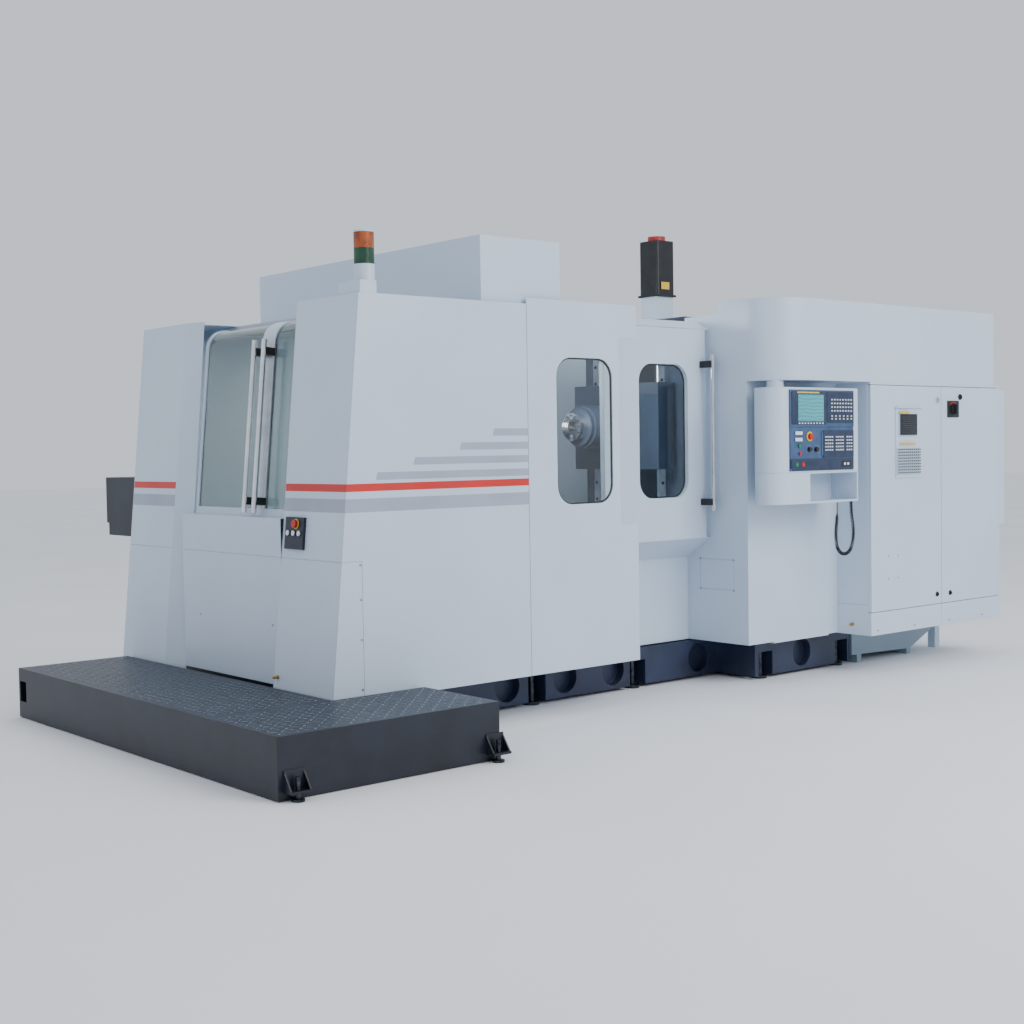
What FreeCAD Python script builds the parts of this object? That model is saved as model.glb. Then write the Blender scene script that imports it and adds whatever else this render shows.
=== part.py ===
import FreeCAD
import Part
import math
import os

# Horizontal machining centre, in millimetres.
# Origin: on the floor under the rotary table's axis. +X runs from the loading end
# towards the moving column, +Y away from the operator's side, +Z is up.

# General sheet work and fits
sheet = 4.0
slide_gap = 0.3
shaft_gap = 0.05

# Enclosure: two long sides, a leaning loading end, and the roof
side_y = 1204.0
panel_bottom = 264.0
end_bottom_x = -1090.0
end_lean = 207.6 / 2105.2
body_top = 2369.0
far_pillar_top = 2348.0
roof_top = 2350.0
first_panel_end = 253.0
second_panel_end = 1125.0
second_panel_top = 2403.0
enclosure_back_x = -480.0
column_room_x = 2004.0

# Loading end
near_jamb_y = -619.0
far_jamb_y = 494.0
far_pillar_y = 639.0
centre_panel_x = -1022.0
centre_panel_back = -900.0
centre_panel_bottom = 287.5
door_track_width = 35.0
door_track_height = 14.0
sill_top = 1200.0
seam_z = 988.0
door_setback = 65.0
door_split_y = -214.0
door_overlap = 25.0
door_bend = 125.0
load_door_top = 2300.0
door_frame = 24.0
pane_thick = 8.0

# Windows of the operator's side
window_height = 849.0
window_radius = 113.0
window_1_x = 695.5
window_2_x = 1575.5
window_width = 445.0
window_z = 1652.0

# Operator door
op_door_front = -996.0
op_door_thick = 40.0
op_door_left = 1050.0
op_door_right = 1985.0
op_door_bottom = 960.0
op_door_top = 2308.0
low_panel_y = -789.5

# Column cover, canopy, cabinet
cover_front = -1312.0
cover_top = 2485.0
cover_bottom = 271.5
cover_low_top = 2402.0
cabinet_left = 2926.0
cabinet_right = 4500.0
cabinet_front = -1587.5
cabinet_back = -1034.0
cabinet_door_bottom = 425.0
cabinet_door_top = 1940.0
cabinet_door_thick = 25.0
cabinet_split_x = 3747.0
canopy_bottom = 1960.6
canopy_radius = 275.5
canopy_right = 4420.0

# Platform in front of the loading end
platform_left = -1807.0
platform_right = -525.0
platform_front = -1845.0
platform_back = 1098.0
platform_inner_x = -1110.0
platform_top = 295.5
platform_bottom = 5.0

# Bed
bed_bottom = 22.0
flange_top = 262.0
bed_flange_y = 816.0
bed_body_y = 760.0
bed_left = -890.0
cross_left = 2257.0
cross_right = 3264.0
cross_flange_y = 1148.0
cross_body_y = 1020.0
bed_top = 560.0
cross_top = 620.0
rail_width = 60.0
rail_height = 60.0
bed_rail_y = 350.0
cross_rail_1 = 2400.0
cross_rail_2 = 3050.0

# Table, pallet
saddle_half_x = 400.0
saddle_top = 760.0
rotary_radius = 280.0
rotary_top = 1000.0
pallet_size = 630.0
pallet_top = 1120.0
pallet_corner = 70.0
pallet_hole_radius = 7.0
pallet_hole_spacing = 500.0
pallet_hole_depth = 40.0

# Column and head
column_front = 2310.0
column_back = 3100.0
column_half = 500.0
column_top = 2450.0
column_window_half = 260.0
column_window_bottom = 950.0
column_window_top = 2250.0
head_rail_y = 328.0
head_rail_depth = 60.0
spindle_z = 1700.0
head_bottom = 1400.0
head_top = 2000.0
head_plate_x = 2120.0
quill_radius = 150.0
flange_radius = 134.0
flange_x = 1760.0
nose_x = 1693.0
nose_radius = 95.0
taper_mouth = 34.925
taper_depth = 101.8
screw_x = 2370.0
screw_y = -185.0
screw_radius = 20.0
motor_width = 178.0
motor_bottom = 2610.0
motor_top = 3000.0
motor_cap_top = 3035.0

# Tool magazine and changer arm
magazine_x = 1300.0
magazine_thick = 100.0
magazine_y = 760.0
magazine_z = 1650.0
magazine_radius = 400.0
pot_radius = 38.0
pot_count = 24
frame_x = 1405.0
frame_thick = 40.0
arm_y = 330.0
arm_x = 1500.0
arm_half = 300.0
hub_radius = 40.0

# Pendant
pendant_left = 1905.0
pendant_right = 2725.0
pendant_front = -1634.0
pendant_back = -1394.0
pendant_bottom = 1180.0
pendant_seam = 1378.0
pendant_top = 1911.0
pivot_x = 2110.0
pivot_y = -1454.0
collar_radius = 55.0
pivot_pin_radius = 20.0
face_thick = 3.0
button_stem = 8.0
knob_radius = 14.0

# Call station on the near pillar
station_y = -756.0
station_z = 1123.0
station_width = 180.0
station_height = 172.0
station_thick = 16.0

# Roof housing, signal tower, conveyor, tank
housing_left = -50.0
housing_right = 540.0
housing_top = 2735.0
housing_half_y = 1174.0
tower_x = -805.0
tower_inset = 55.0
tower_y = tower_inset - side_y
tower_radius = 54.0
tower_block_left = -872.0
tower_block_right = -769.0
tower_block_depth = 200.0
tower_block_height = 66.0
tower_stem_radius = 8.0
tower_cap = 8.0
lens_z = 2520.0
lens_height = 82.0
conveyor_width = 482.0
tank_top = 262.0

lean_angle = math.degrees(math.atan(end_lean))


def end_x(z):
    """X of the leaning end face at height z."""
    return end_bottom_x + (z - panel_bottom) * end_lean


def box(x0, x1, y0, y1, z0, z1):
    size = FreeCAD.Vector(x1 - x0, y1 - y0, z1 - z0)
    return Part.makeBox(size.x, size.y, size.z, FreeCAD.Vector(x0, y0, z0))


def rod(radius, start, direction, length):
    return Part.makeCylinder(radius, length, FreeCAD.Vector(*start), FreeCAD.Vector(*direction))


def prism(corners, place, sweep):
    """Extrude a closed outline; place turns a 2-D corner into a point."""
    points = [place(*corner) for corner in corners]
    face = Part.Face(Part.makePolygon(points + [points[0]]))
    return face.extrude(FreeCAD.Vector(*sweep))


def prism_y(corners, y0, y1):
    return prism(corners, lambda x, z: FreeCAD.Vector(x, y0, z), (0, y1 - y0, 0))


def prism_x(corners, x0, x1):
    return prism(corners, lambda y, z: FreeCAD.Vector(x0, y, z), (x1 - x0, 0, 0))


def prism_z(corners, z0, z1):
    return prism(corners, lambda x, y: FreeCAD.Vector(x, y, z0), (0, 0, z1 - z0))


def join(pieces):
    whole = pieces[0].fuse(pieces[1:])
    return whole.removeSplitter()


def cut(shape, tools):
    return shape.cut(Part.makeCompound(tools)) if len(tools) > 1 else shape.cut(tools[0])


def save(name, pieces):
    """Write one node; a list of pieces stays a group of separate solids."""
    solids = []
    for piece in pieces if isinstance(pieces, list) else [pieces]:
        solids.extend(piece.Solids)
    shape = Part.makeCompound(solids) if len(solids) > 1 else solids[0]
    shape.exportStep("parts/" + name + ".step")


def rounded_block(x0, x1, y0, y1, z0, z1, radius):
    """A block with its four edges along Y rounded."""
    block = box(x0, x1, y0, y1, z0, z1)
    edges = [edge for edge in block.Edges if abs(edge.tangentAt(edge.FirstParameter).y) > 0.99]
    return block.makeFillet(radius, edges)


def window(centre_x, grow, y0, y1):
    half_x = window_width / 2 + grow
    half_z = window_height / 2 + grow
    return rounded_block(centre_x - half_x, centre_x + half_x, y0, y1,
                         window_z - half_z, window_z + half_z, window_radius + grow)


def lean(shape):
    """Set a shape, drawn against an upright face at x = 0, on the leaning end face."""
    leaning = shape.copy()
    leaning.rotate(FreeCAD.Vector(0, 0, 0), FreeCAD.Vector(0, 1, 0), lean_angle)
    leaning.translate(FreeCAD.Vector(end_bottom_x, 0, panel_bottom))
    return leaning


def up_face(z):
    """Distance along the leaning face that reaches height z."""
    return (z - panel_bottom) / math.cos(math.radians(lean_angle))


# ---------------------------------------------------------------- base

def platform_outline(inset, step):
    """L-shaped deck: a front strip along the side and a long strip along the end."""
    return [(platform_left + inset, platform_front + inset),
            (platform_right - inset, platform_front + inset),
            (platform_right - inset, -side_y - step - inset),
            (platform_inner_x - inset, -side_y - step - inset),
            (platform_inner_x - inset, platform_back - inset),
            (platform_left + inset, platform_back - inset)]


lug_reach = 70.0
lug_width = 110.0
lug_z = 40.0
lug_thick = 12.0
gusset_height = 100.0
foot_bolt_radius = 12.0
pad_radius = 30.0
pad_height = 12.0
platform_skin = 8.0
platform_edge_gap = 20.0
front_lugs = (-1724.0, -562.0)
end_pocket_y = 1035.0
end_pocket_width = 90.0
end_pocket_bottom = 100.0
end_pocket_top = 220.0
end_bolt_top = 195.0
front_bolt_rise = 60.0


def platform_lug():
    """Foot bracket on a wall at y = 0, standing out along -Y, centred on x = 0."""
    plate = box(-lug_width / 2, lug_width / 2, -lug_reach, 0, lug_z, lug_z + lug_thick)
    back = box(-lug_width / 2, lug_width / 2, -8, 0, lug_z, lug_z + gusset_height)
    side = prism_x([(0, lug_z), (-lug_reach, lug_z), (0, lug_z + gusset_height)], 0, 8)
    left = side.copy()
    left.translate(FreeCAD.Vector(-lug_width / 2, 0, 0))
    right = side.copy()
    right.translate(FreeCAD.Vector(lug_width / 2 - 8, 0, 0))
    lug = join([plate, back, left, right])
    return lug.cut(rod(foot_bolt_radius + shaft_gap, (0, -lug_reach / 2, 0), (0, 0, 1), 200))


def platform_places():
    """Foot brackets: (x, y, turn about Z, top of the bolt).

    The front ones stand out from the skirt; the end one is inside it, behind a window.
    """
    places = [(x, platform_front, 0, lug_z + lug_thick + front_bolt_rise) for x in front_lugs]
    places.append((platform_left + platform_skin, end_pocket_y, 90, end_bolt_top))
    return places


def placed(shape, x, y, turn):
    moved = shape.copy()
    moved.rotate(FreeCAD.Vector(0, 0, 0), FreeCAD.Vector(0, 0, 1), turn)
    moved.translate(FreeCAD.Vector(x, y, 0))
    return moved


def platform():
    outer = prism_z(platform_outline(0, platform_edge_gap), platform_bottom, platform_top)
    inner = prism_z(platform_outline(platform_skin, platform_edge_gap),
                    platform_bottom - 1, platform_top - platform_skin)
    lugs = [placed(platform_lug(), x, y, turn) for x, y, turn, top in platform_places()]
    window = box(platform_left - 1, platform_left + 2 * platform_skin + 1,
                 end_pocket_y - end_pocket_width / 2, end_pocket_y + end_pocket_width / 2,
                 end_pocket_bottom, end_pocket_top)
    return join([outer.cut(inner)] + lugs).cut(window)


def foot(bolt_radius, radius, height, bolt_top):
    pad = rod(radius, (0, 0, 0), (0, 0, 1), height)
    return pad.fuse(rod(bolt_radius, (0, 0, 0), (0, 0, 1), bolt_top)).removeSplitter()


pocket_half = 70.0
pocket_depth = 110.0
pocket_top = 182.0
bed_pockets = (-700.0, 630.0, 1493.0)
cross_pockets = (2364.0, 3180.0)
core_radius = 95.0
core_z = 141.0
core_depth = 60.0
bed_cores = (394.0, 860.0, 1273.0, 2067.0)
cross_core = 2743.0
sole_radius = 120.0


def bed_pocket_tools(x, wall_y):
    tools = []
    for side in (-1, 1):
        near = side * (wall_y - pocket_depth)
        far = side * (wall_y + 1)
        tools.append(box(x - pocket_half, x + pocket_half, min(near, far), max(near, far),
                         bed_bottom - 1, pocket_top))
    return tools


def core_tools(x, wall_y):
    return [rod(core_radius, (x, side * (wall_y + 1), core_z), (0, -side, 0), core_depth)
            for side in (-1, 1)]


def bed_casting():
    long_flange = box(bed_left, cross_left + 10, -bed_flange_y, bed_flange_y, bed_bottom, flange_top)
    long_body = box(bed_left, cross_left + 10, -bed_body_y, bed_body_y, bed_bottom, bed_top)
    cross_flange = box(cross_left, cross_right, -cross_flange_y, cross_flange_y,
                       bed_bottom, flange_top)
    cross_body = box(cross_left, cross_right, -cross_body_y, cross_body_y, bed_bottom, cross_top)
    sole = rod(sole_radius, (0, 0, 0), (0, 0, 1), bed_bottom + 1)
    whole = join([long_flange, long_body, cross_flange, cross_body, sole])
    tools = []
    for x in bed_pockets:
        tools += bed_pocket_tools(x, bed_flange_y)
    for x in cross_pockets:
        tools += bed_pocket_tools(x, cross_flange_y)
    for x in bed_cores:
        tools += core_tools(x, bed_flange_y)
    tools += core_tools(cross_core, cross_flange_y)
    for tool in tools:
        whole = whole.cut(tool)
    return whole


def levelling_feet():
    feet = []
    for x, y, turn, bolt_top in platform_places():
        small = foot(foot_bolt_radius, pad_radius, pad_height, bolt_top)
        offset = FreeCAD.Rotation(FreeCAD.Vector(0, 0, 1), turn).multVec(
            FreeCAD.Vector(0, -lug_reach / 2, 0))
        feet.append(placed(small, x + offset.x, y + offset.y, 0))
    large = foot(18, 50, 20, pocket_top)
    for x in bed_pockets:
        for side in (-1, 1):
            feet.append(placed(large, x, side * (bed_flange_y - pocket_depth / 2), 0))
    for x in cross_pockets:
        for side in (-1, 1):
            feet.append(placed(large, x, side * (cross_flange_y - pocket_depth / 2), 0))
    return feet


def way_rails():
    half = rail_width / 2
    rails = [box(-560, 1560, side * bed_rail_y - half, side * bed_rail_y + half,
                 bed_top, bed_top + rail_height) for side in (-1, 1)]
    for x in (cross_rail_1, cross_rail_2):
        rails.append(box(x - half, x + half, -cross_body_y + 10, cross_body_y - 10,
                         cross_top, cross_top + rail_height))
    return rails


# ---------------------------------------------------------------- table

def table_saddle():
    """Saddle with a channel over each way rail."""
    top = bed_top + rail_height
    block = box(-saddle_half_x, saddle_half_x, -450, 450, bed_top + 8, saddle_top)
    half = rail_width / 2 + slide_gap
    channels = [box(-saddle_half_x - 1, saddle_half_x + 1, side * bed_rail_y - half,
                    side * bed_rail_y + half, 0, top) for side in (-1, 1)]
    return cut(block, channels)


def rotary_table():
    drum = rod(rotary_radius, (0, 0, saddle_top), (0, 0, 1), rotary_top - saddle_top)
    groove = rod(rotary_radius + 1, (0, 0, saddle_top + 90), (0, 0, 1), 12)
    core = rod(rotary_radius - 10, (0, 0, saddle_top + 90), (0, 0, 1), 12)
    return drum.cut(groove.cut(core))


def pallet():
    half = pallet_size / 2
    block = box(-half, half, -half, half, rotary_top, pallet_top)
    upright = [edge for edge in block.Edges if abs(edge.tangentAt(edge.FirstParameter).z) > 0.99]
    block = block.makeChamfer(pallet_corner, upright)
    reach = pallet_hole_spacing / 2
    holes = [rod(pallet_hole_radius, (x, y, pallet_top - pallet_hole_depth), (0, 0, 1), 100)
             for x in (-reach, reach) for y in (-reach, reach)]
    holes.append(rod(25, (0, 0, pallet_top - 30), (0, 0, 1), 100))
    return cut(block, holes)


# ---------------------------------------------------------------- column and head

def column_casting():
    """Portal column: the head reaches through its window, its foot rides two way rails."""
    base = cross_top + 8
    block = box(column_front, column_back, -column_half, column_half, base, column_top)
    opening = box(column_front - 1, column_back + 1, -column_window_half, column_window_half,
                  column_window_bottom, column_window_top)
    half = rail_width / 2 + slide_gap
    channels = [box(x - half, x + half, -column_half - 1, column_half + 1, 0,
                    cross_top + rail_height) for x in (cross_rail_1, cross_rail_2)]
    bore = rod(screw_radius + shaft_gap, (screw_x, screw_y, column_window_bottom - 60),
               (0, 0, 1), column_top)
    return cut(block, [opening] + channels + [bore])


def head_rails():
    half = rail_width / 2
    return [box(column_front - head_rail_depth, column_front, side * head_rail_y - half,
                side * head_rail_y + half, 760, column_top - 40) for side in (-1, 1)]


def head_motor():
    """Bracket, servo motor and its cap, stacked on the column over the screw."""
    half = motor_width / 2
    bracket = box(screw_x - half + 10, screw_x + half - 10, screw_y - half + 10,
                  screw_y + half - 10, column_top, motor_bottom)
    bracket = bracket.cut(rod(60, (screw_x, screw_y, column_top - 1), (0, 0, 1),
                              motor_bottom - column_top - 20))
    flange = box(screw_x - half - 6, screw_x + half + 6, screw_y - half - 6, screw_y + half + 6,
                 motor_bottom, motor_bottom + 14)
    body = box(screw_x - half, screw_x + half, screw_y - half, screw_y + half,
               motor_bottom + 14, motor_top)
    upright = [edge for edge in body.Edges if abs(edge.tangentAt(edge.FirstParameter).z) > 0.99]
    body = body.makeFillet(22, upright)
    cap = rod(62, (screw_x, screw_y, motor_top), (0, 0, 1), motor_cap_top - motor_top)
    return [bracket, flange.fuse(body).removeSplitter(), cap]


def head_screw():
    start = column_window_bottom - 60
    return rod(screw_radius, (screw_x, screw_y, start), (0, 0, 1), column_top + 100 - start)


def head_casting():
    """Saddle plate, guide shoes on both rails, the quill housing and the screw's nut."""
    plate = box(head_plate_x, column_front - head_rail_depth, -420, 420, head_bottom, head_top)
    pieces = [plate]
    for side in (-1, 1):
        for inner in (-1, 1):
            edge = side * head_rail_y + inner * (rail_width / 2 + slide_gap)
            outer = edge + inner * 35
            pieces.append(box(column_front - head_rail_depth - 1, column_front - 6,
                              min(edge, outer), max(edge, outer), head_bottom, head_top))
    pieces.append(rod(quill_radius, (flange_x + 30, 0, spindle_z), (1, 0, 0), 2890 - flange_x))
    pieces.append(rod(flange_radius, (flange_x, 0, spindle_z), (1, 0, 0), 40))
    nut_top = spindle_z + 70
    nut = rod(44, (screw_x, screw_y, spindle_z - 70), (0, 0, 1), 140)
    arm = box(column_front - head_rail_depth - 1, screw_x, screw_y - 40, screw_y + 60,
              spindle_z - 70, nut_top)
    whole = join(pieces + [nut, arm])
    bore = rod(screw_radius + shaft_gap, (screw_x, screw_y, head_bottom), (0, 0, 1), 700)
    socket = rod(60 + shaft_gap, (flange_x - 1, 0, spindle_z), (1, 0, 0), 200)
    return cut(whole, [bore, socket])


def spindle_nose():
    """Turning nose with its taper socket and the front of the spindle shaft."""
    ring = rod(nose_radius, (nose_x, 0, spindle_z), (1, 0, 0), flange_x - nose_x)
    shaft = rod(60, (nose_x + 1, 0, spindle_z), (1, 0, 0), flange_x + 198 - nose_x)
    tip = taper_mouth - taper_depth * 7 / 24 / 2
    taper = Part.makeCone(taper_mouth, tip, taper_depth, FreeCAD.Vector(nose_x, 0, spindle_z),
                          FreeCAD.Vector(1, 0, 0))
    drawbar = rod(14, (nose_x, 0, spindle_z), (1, 0, 0), 180)
    key_slot = box(nose_x - 1, nose_x + 12, -12.7, 12.7, spindle_z - nose_radius - 1,
                   spindle_z + nose_radius + 1)
    centre = rod(taper_mouth + 18, (nose_x - 1, 0, spindle_z), (1, 0, 0), 30)
    return cut(ring.fuse(shaft).removeSplitter(), [taper, drawbar, key_slot.cut(centre)])


# ---------------------------------------------------------------- tool store

def tool_magazine():
    """Disc with a ring of plugged tool pots, turning on its own hub."""
    disc = rod(magazine_radius, (magazine_x, magazine_y, magazine_z), (1, 0, 0), magazine_thick)
    hub = rod(hub_radius, (magazine_x, magazine_y, magazine_z), (1, 0, 0),
              frame_x + frame_thick - magazine_x)
    ring = magazine_radius - pot_radius - 12
    pots = []
    for index in range(pot_count):
        angle = 2 * math.pi * index / pot_count
        pots.append(rod(pot_radius, (magazine_x - 24, magazine_y + ring * math.cos(angle),
                                     magazine_z + ring * math.sin(angle)), (1, 0, 0), 30))
    return join([disc, hub] + pots)


def magazine_frame():
    """Post on the bed with a beam that carries the magazine's hub and the arm's shaft."""
    back = frame_x + frame_thick
    post = box(frame_x, back, magazine_y - 120, magazine_y, bed_top, magazine_z + 120)
    beam = box(frame_x, back, arm_y - 90, magazine_y + 90, magazine_z - 60, magazine_z + 130)
    brace = prism_y([(back, bed_top), (back + 160, bed_top), (back, bed_top + 500)],
                    magazine_y - 70, magazine_y - 50)
    hub = rod(hub_radius + shaft_gap, (frame_x - 1, magazine_y, magazine_z), (1, 0, 0), 100)
    shaft = rod(30 + shaft_gap, (frame_x - 1, arm_y, spindle_z), (1, 0, 0), 100)
    return cut(join([post, beam, brace]), [hub, shaft])


def changer_arm():
    """Double-ended arm, parked upright on its shaft."""
    arm = box(arm_x, arm_x + 50, arm_y - 45, arm_y + 45, spindle_z - arm_half + 60,
              spindle_z + arm_half - 60)
    shaft = rod(30, (frame_x, arm_y, spindle_z), (1, 0, 0), arm_x + 70 - frame_x)
    hub = rod(70, (arm_x - 20, arm_y, spindle_z), (1, 0, 0), 80)
    pieces = [arm, shaft, hub]
    for side in (-1, 1):
        pieces.append(rod(60, (arm_x, arm_y, spindle_z + side * (arm_half - 60)), (1, 0, 0), 50))
    grips = []
    for side in (-1, 1):
        end = spindle_z + side * (arm_half - 60)
        grips.append(rod(36, (arm_x - 1, arm_y, end), (1, 0, 0), 60))
        grips.append(box(arm_x - 1, arm_x + 60, arm_y + side * 20 - 55, arm_y + side * 20 + 55,
                         end - 20, end + 20).common(
            box(arm_x - 1, arm_x + 60, arm_y if side > 0 else arm_y - 100,
                arm_y + 100 if side > 0 else arm_y, end - 20, end + 20)))
    return cut(join(pieces), grips)


# ---------------------------------------------------------------- loading end

def end_pillars():
    """Two leaning hollow pillars; the loading doors slide away behind their faces."""
    pillars = []
    for side, jamb, top in ((-1, near_jamb_y, body_top), (1, far_pillar_y, far_pillar_top)):
        outer = side * (side_y - sheet)
        low, high = min(jamb, outer), max(jamb, outer)
        bottom_x = end_x(panel_bottom)
        face = prism_y([(bottom_x, panel_bottom), (bottom_x + sheet, panel_bottom),
                        (end_x(top) + sheet, top), (end_x(top), top)], low, high)
        cap = box(end_x(top), enclosure_back_x, low, high, top - sheet, top)
        floor = box(bottom_x, centre_panel_x, low, high, panel_bottom, panel_bottom + sheet)
        cheek_end_y = jamb if side < 0 else far_jamb_y
        cheek = splayed_cheek(jamb, cheek_end_y, top)
        groove = box(end_bottom_x - 20, end_x(seam_z) + 2, low - 1, high + 1, seam_z - 1.5,
                     seam_z + 1.5)
        pillars.append(join([face, cap, floor, cheek]).cut(groove))
    return pillars


def splayed_cheek(front_y, back_y, top):
    """Cheek running back from a pillar's edge, short of the doors that slide behind it."""
    wires = []
    for z, back_x in ((panel_bottom, centre_panel_x), (top, end_x(top) + door_setback - 20)):
        front = FreeCAD.Vector(end_x(z), front_y, z)
        back = FreeCAD.Vector(back_x, back_y, z)
        shift = FreeCAD.Vector(0, sheet if front_y > 0 else -sheet, 0)
        wires.append(Part.makePolygon([front, back, back + shift, front + shift, front]))
    return Part.makeLoft(wires, True, True)


def end_centre_panel():
    """Apron under the loading doors with its sill and the doors' bottom track."""
    front = box(centre_panel_x, centre_panel_x + sheet, near_jamb_y, far_jamb_y,
                centre_panel_bottom, sill_top)
    sill = box(centre_panel_x, centre_panel_back, near_jamb_y, far_jamb_y, sill_top - sheet, sill_top)
    back = box(centre_panel_back - sheet, centre_panel_back, near_jamb_y, far_jamb_y,
               centre_panel_bottom, sill_top)
    track = box(centre_panel_back - door_track_width, centre_panel_back, -side_y + sheet,
                side_y - sheet - 5, sill_top - door_track_height, sill_top)
    panel = join([front, sill, back, track])
    groove = box(centre_panel_x - 1, centre_panel_x + 2, near_jamb_y - 1, far_jamb_y + 1,
                 seam_z - 1.5, seam_z + 1.5)
    return panel.cut(groove)


def door_profile(low_z, back_x, outer, inner):
    """Section of a loading door: leaning, bent over at the top, then level.

    outer and inner are depths behind the door's outer surface."""
    angle = math.radians(lean_angle)
    base_x = end_x(low_z) + door_setback
    centre_z = load_door_top - door_bend
    centre_x = base_x + (centre_z - low_z) * end_lean + door_bend / math.cos(angle)
    away = FreeCAD.Vector(-math.cos(angle), 0, math.sin(angle))
    middle = FreeCAD.Vector(away.x, 0, away.z + 1).normalize()
    centre = FreeCAD.Vector(centre_x, 0, centre_z)
    up = FreeCAD.Vector(0, 0, 1)
    edges = []
    ends = []
    for depth in (outer, inner):
        radius = door_bend - depth
        foot_point = FreeCAD.Vector(base_x + depth / math.cos(angle), 0, low_z)
        bend_start = centre + away * radius
        bend_middle = centre + middle * radius
        bend_end = centre + up * radius
        tail = FreeCAD.Vector(back_x, 0, load_door_top - depth)
        edges.append(Part.LineSegment(foot_point, bend_start).toShape())
        edges.append(Part.Arc(bend_start, bend_middle, bend_end).toShape())
        edges.append(Part.LineSegment(bend_end, tail).toShape())
        ends.append((foot_point, tail))
    edges.append(Part.LineSegment(ends[0][0], ends[1][0]).toShape())
    edges.append(Part.LineSegment(ends[0][1], ends[1][1]).toShape())
    wire = Part.Wire(Part.__sortEdges__(edges))
    return Part.Face(wire)


def door_slab(low_z, back_x, outer, inner, y0, y1):
    slab = door_profile(low_z, back_x, outer, inner)
    slab.translate(FreeCAD.Vector(0, y0, 0))
    return slab.extrude(FreeCAD.Vector(0, y1 - y0, 0))


near_door_y = (near_jamb_y - door_overlap, door_split_y)
far_door_y = (door_split_y, far_jamb_y + 2)
meeting_stile = 90.0
thin_stile = 32.0
bottom_rail = 42.0
door_tail = 30.0
bar_radius = 16.0
bar_stand = 62.0
bar_low = 1222.0
bar_high = 2190.0
pull_bar_y = (-294.0, -188.0)


def door_opening(y0, y1, outer, inner):
    return door_slab(sill_top + bottom_rail, enclosure_back_x - door_tail, outer, inner, y0, y1)


def load_door(span, low_stile, high_stile):
    y0, y1 = span
    frame = door_slab(sill_top, enclosure_back_x, 0, door_frame, y0, y1)
    hole = door_opening(y0 + low_stile, y1 - high_stile, -5, door_frame + 5)
    return frame.cut(hole)


def load_door_pane(span, low_stile, high_stile):
    depth = (door_frame - pane_thick) / 2
    return door_opening(span[0] + low_stile, span[1] - high_stile, depth, depth + pane_thick)


def pull_bar(y):
    """Chromed bar standing off a door on two blocks; upright is the leaning face."""
    bar = rod(bar_radius, (door_setback - bar_stand, y, up_face(bar_low)), (0, 0, 1),
              up_face(bar_high) - up_face(bar_low))
    pieces = [bar]
    for z in (bar_low + 45, bar_high - 85):
        pieces.append(box(door_setback - bar_stand, door_setback, y - 20, y + 20,
                          up_face(z), up_face(z) + 42))
    return lean(join(pieces))


def load_door_near():
    door = load_door(near_door_y, thin_stile, meeting_stile)
    return door.fuse(pull_bar(pull_bar_y[0])).removeSplitter()


def load_door_far():
    door = load_door(far_door_y, meeting_stile / 2, thin_stile)
    return door.fuse(pull_bar(pull_bar_y[1])).removeSplitter()


# ---------------------------------------------------------------- sides and roof

corner_seam_x = -895.0


def side_panel_front():
    """First side panel, with the seam of its lower corner cover."""
    low, high = -side_y, -side_y + sheet
    panel = prism_y([(end_x(panel_bottom), panel_bottom), (first_panel_end, panel_bottom),
                     (first_panel_end, body_top), (end_x(body_top), body_top)], low, high)
    grooves = [box(end_bottom_x - 10, corner_seam_x, low - 1, low + 2, seam_z - 1.5, seam_z + 1.5),
               box(corner_seam_x - 1.5, corner_seam_x + 1.5, low - 1, low + 2,
                   panel_bottom - 1, seam_z + 1.5)]
    lip = box(first_panel_end - 24, first_panel_end, high, high + 24, panel_bottom,
              roof_top - sheet)
    return cut(join([panel, lip]), grooves)


def side_panel_window():
    """Second side panel with its window and the hand gap over the operator door."""
    low, high = -side_y, -side_y + sheet
    panel = box(first_panel_end, second_panel_end, low, high, panel_bottom, second_panel_top)
    lip = box(first_panel_end, first_panel_end + 24, high, high + 24, panel_bottom,
              roof_top - sheet)
    gap = box(second_panel_end - 145, second_panel_end + 1, low - 1, high + 1, 1090, 2205)
    return cut(join([panel, lip]), [window(window_1_x, 0, low - 1, high + 30), gap])


def side_window_pane():
    return window(window_1_x, 25, -side_y + sheet, -side_y + sheet + 6)


def low_panel():
    """Low front panel, folded out to a ledge that carries the operator door."""
    outer = [(low_panel_y, panel_bottom + 6), (low_panel_y, 820), (op_door_front, op_door_bottom - 4),
             (op_door_front, op_door_bottom), (op_door_front + 60, op_door_bottom)]
    inner = [(op_door_front + 60, op_door_bottom - sheet), (op_door_front + 12, op_door_bottom - sheet),
             (low_panel_y + sheet, 822), (low_panel_y + sheet, panel_bottom + 6)]
    return prism_x(outer + inner, first_panel_end + 40, column_room_x)


def operator_door():
    back = op_door_front + op_door_thick
    door = box(op_door_left, op_door_right, op_door_front, back, op_door_bottom, op_door_top)
    edge = [e for e in door.Edges if abs(e.tangentAt(e.FirstParameter).z) > 0.99
            and abs(e.CenterOfMass.x - op_door_right) < 1
            and abs(e.CenterOfMass.y - op_door_front) < 1]
    door = door.makeFillet(32, edge)
    pocket = box(op_door_left + 40, op_door_right - 40, op_door_front + sheet, back + 1,
                 op_door_bottom + 40, op_door_top - 40)
    pocket = pocket.cut(window(window_2_x, 40, op_door_front, back + 2))
    rebate = window(window_2_x, 18, back - 12, back + 1)
    return cut(door, [window(window_2_x, 0, op_door_front - 1, back + 1), rebate, pocket])


def operator_door_pane():
    back = op_door_front + op_door_thick
    return window(window_2_x, 18 - slide_gap, back - 12, back - 6)


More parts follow.
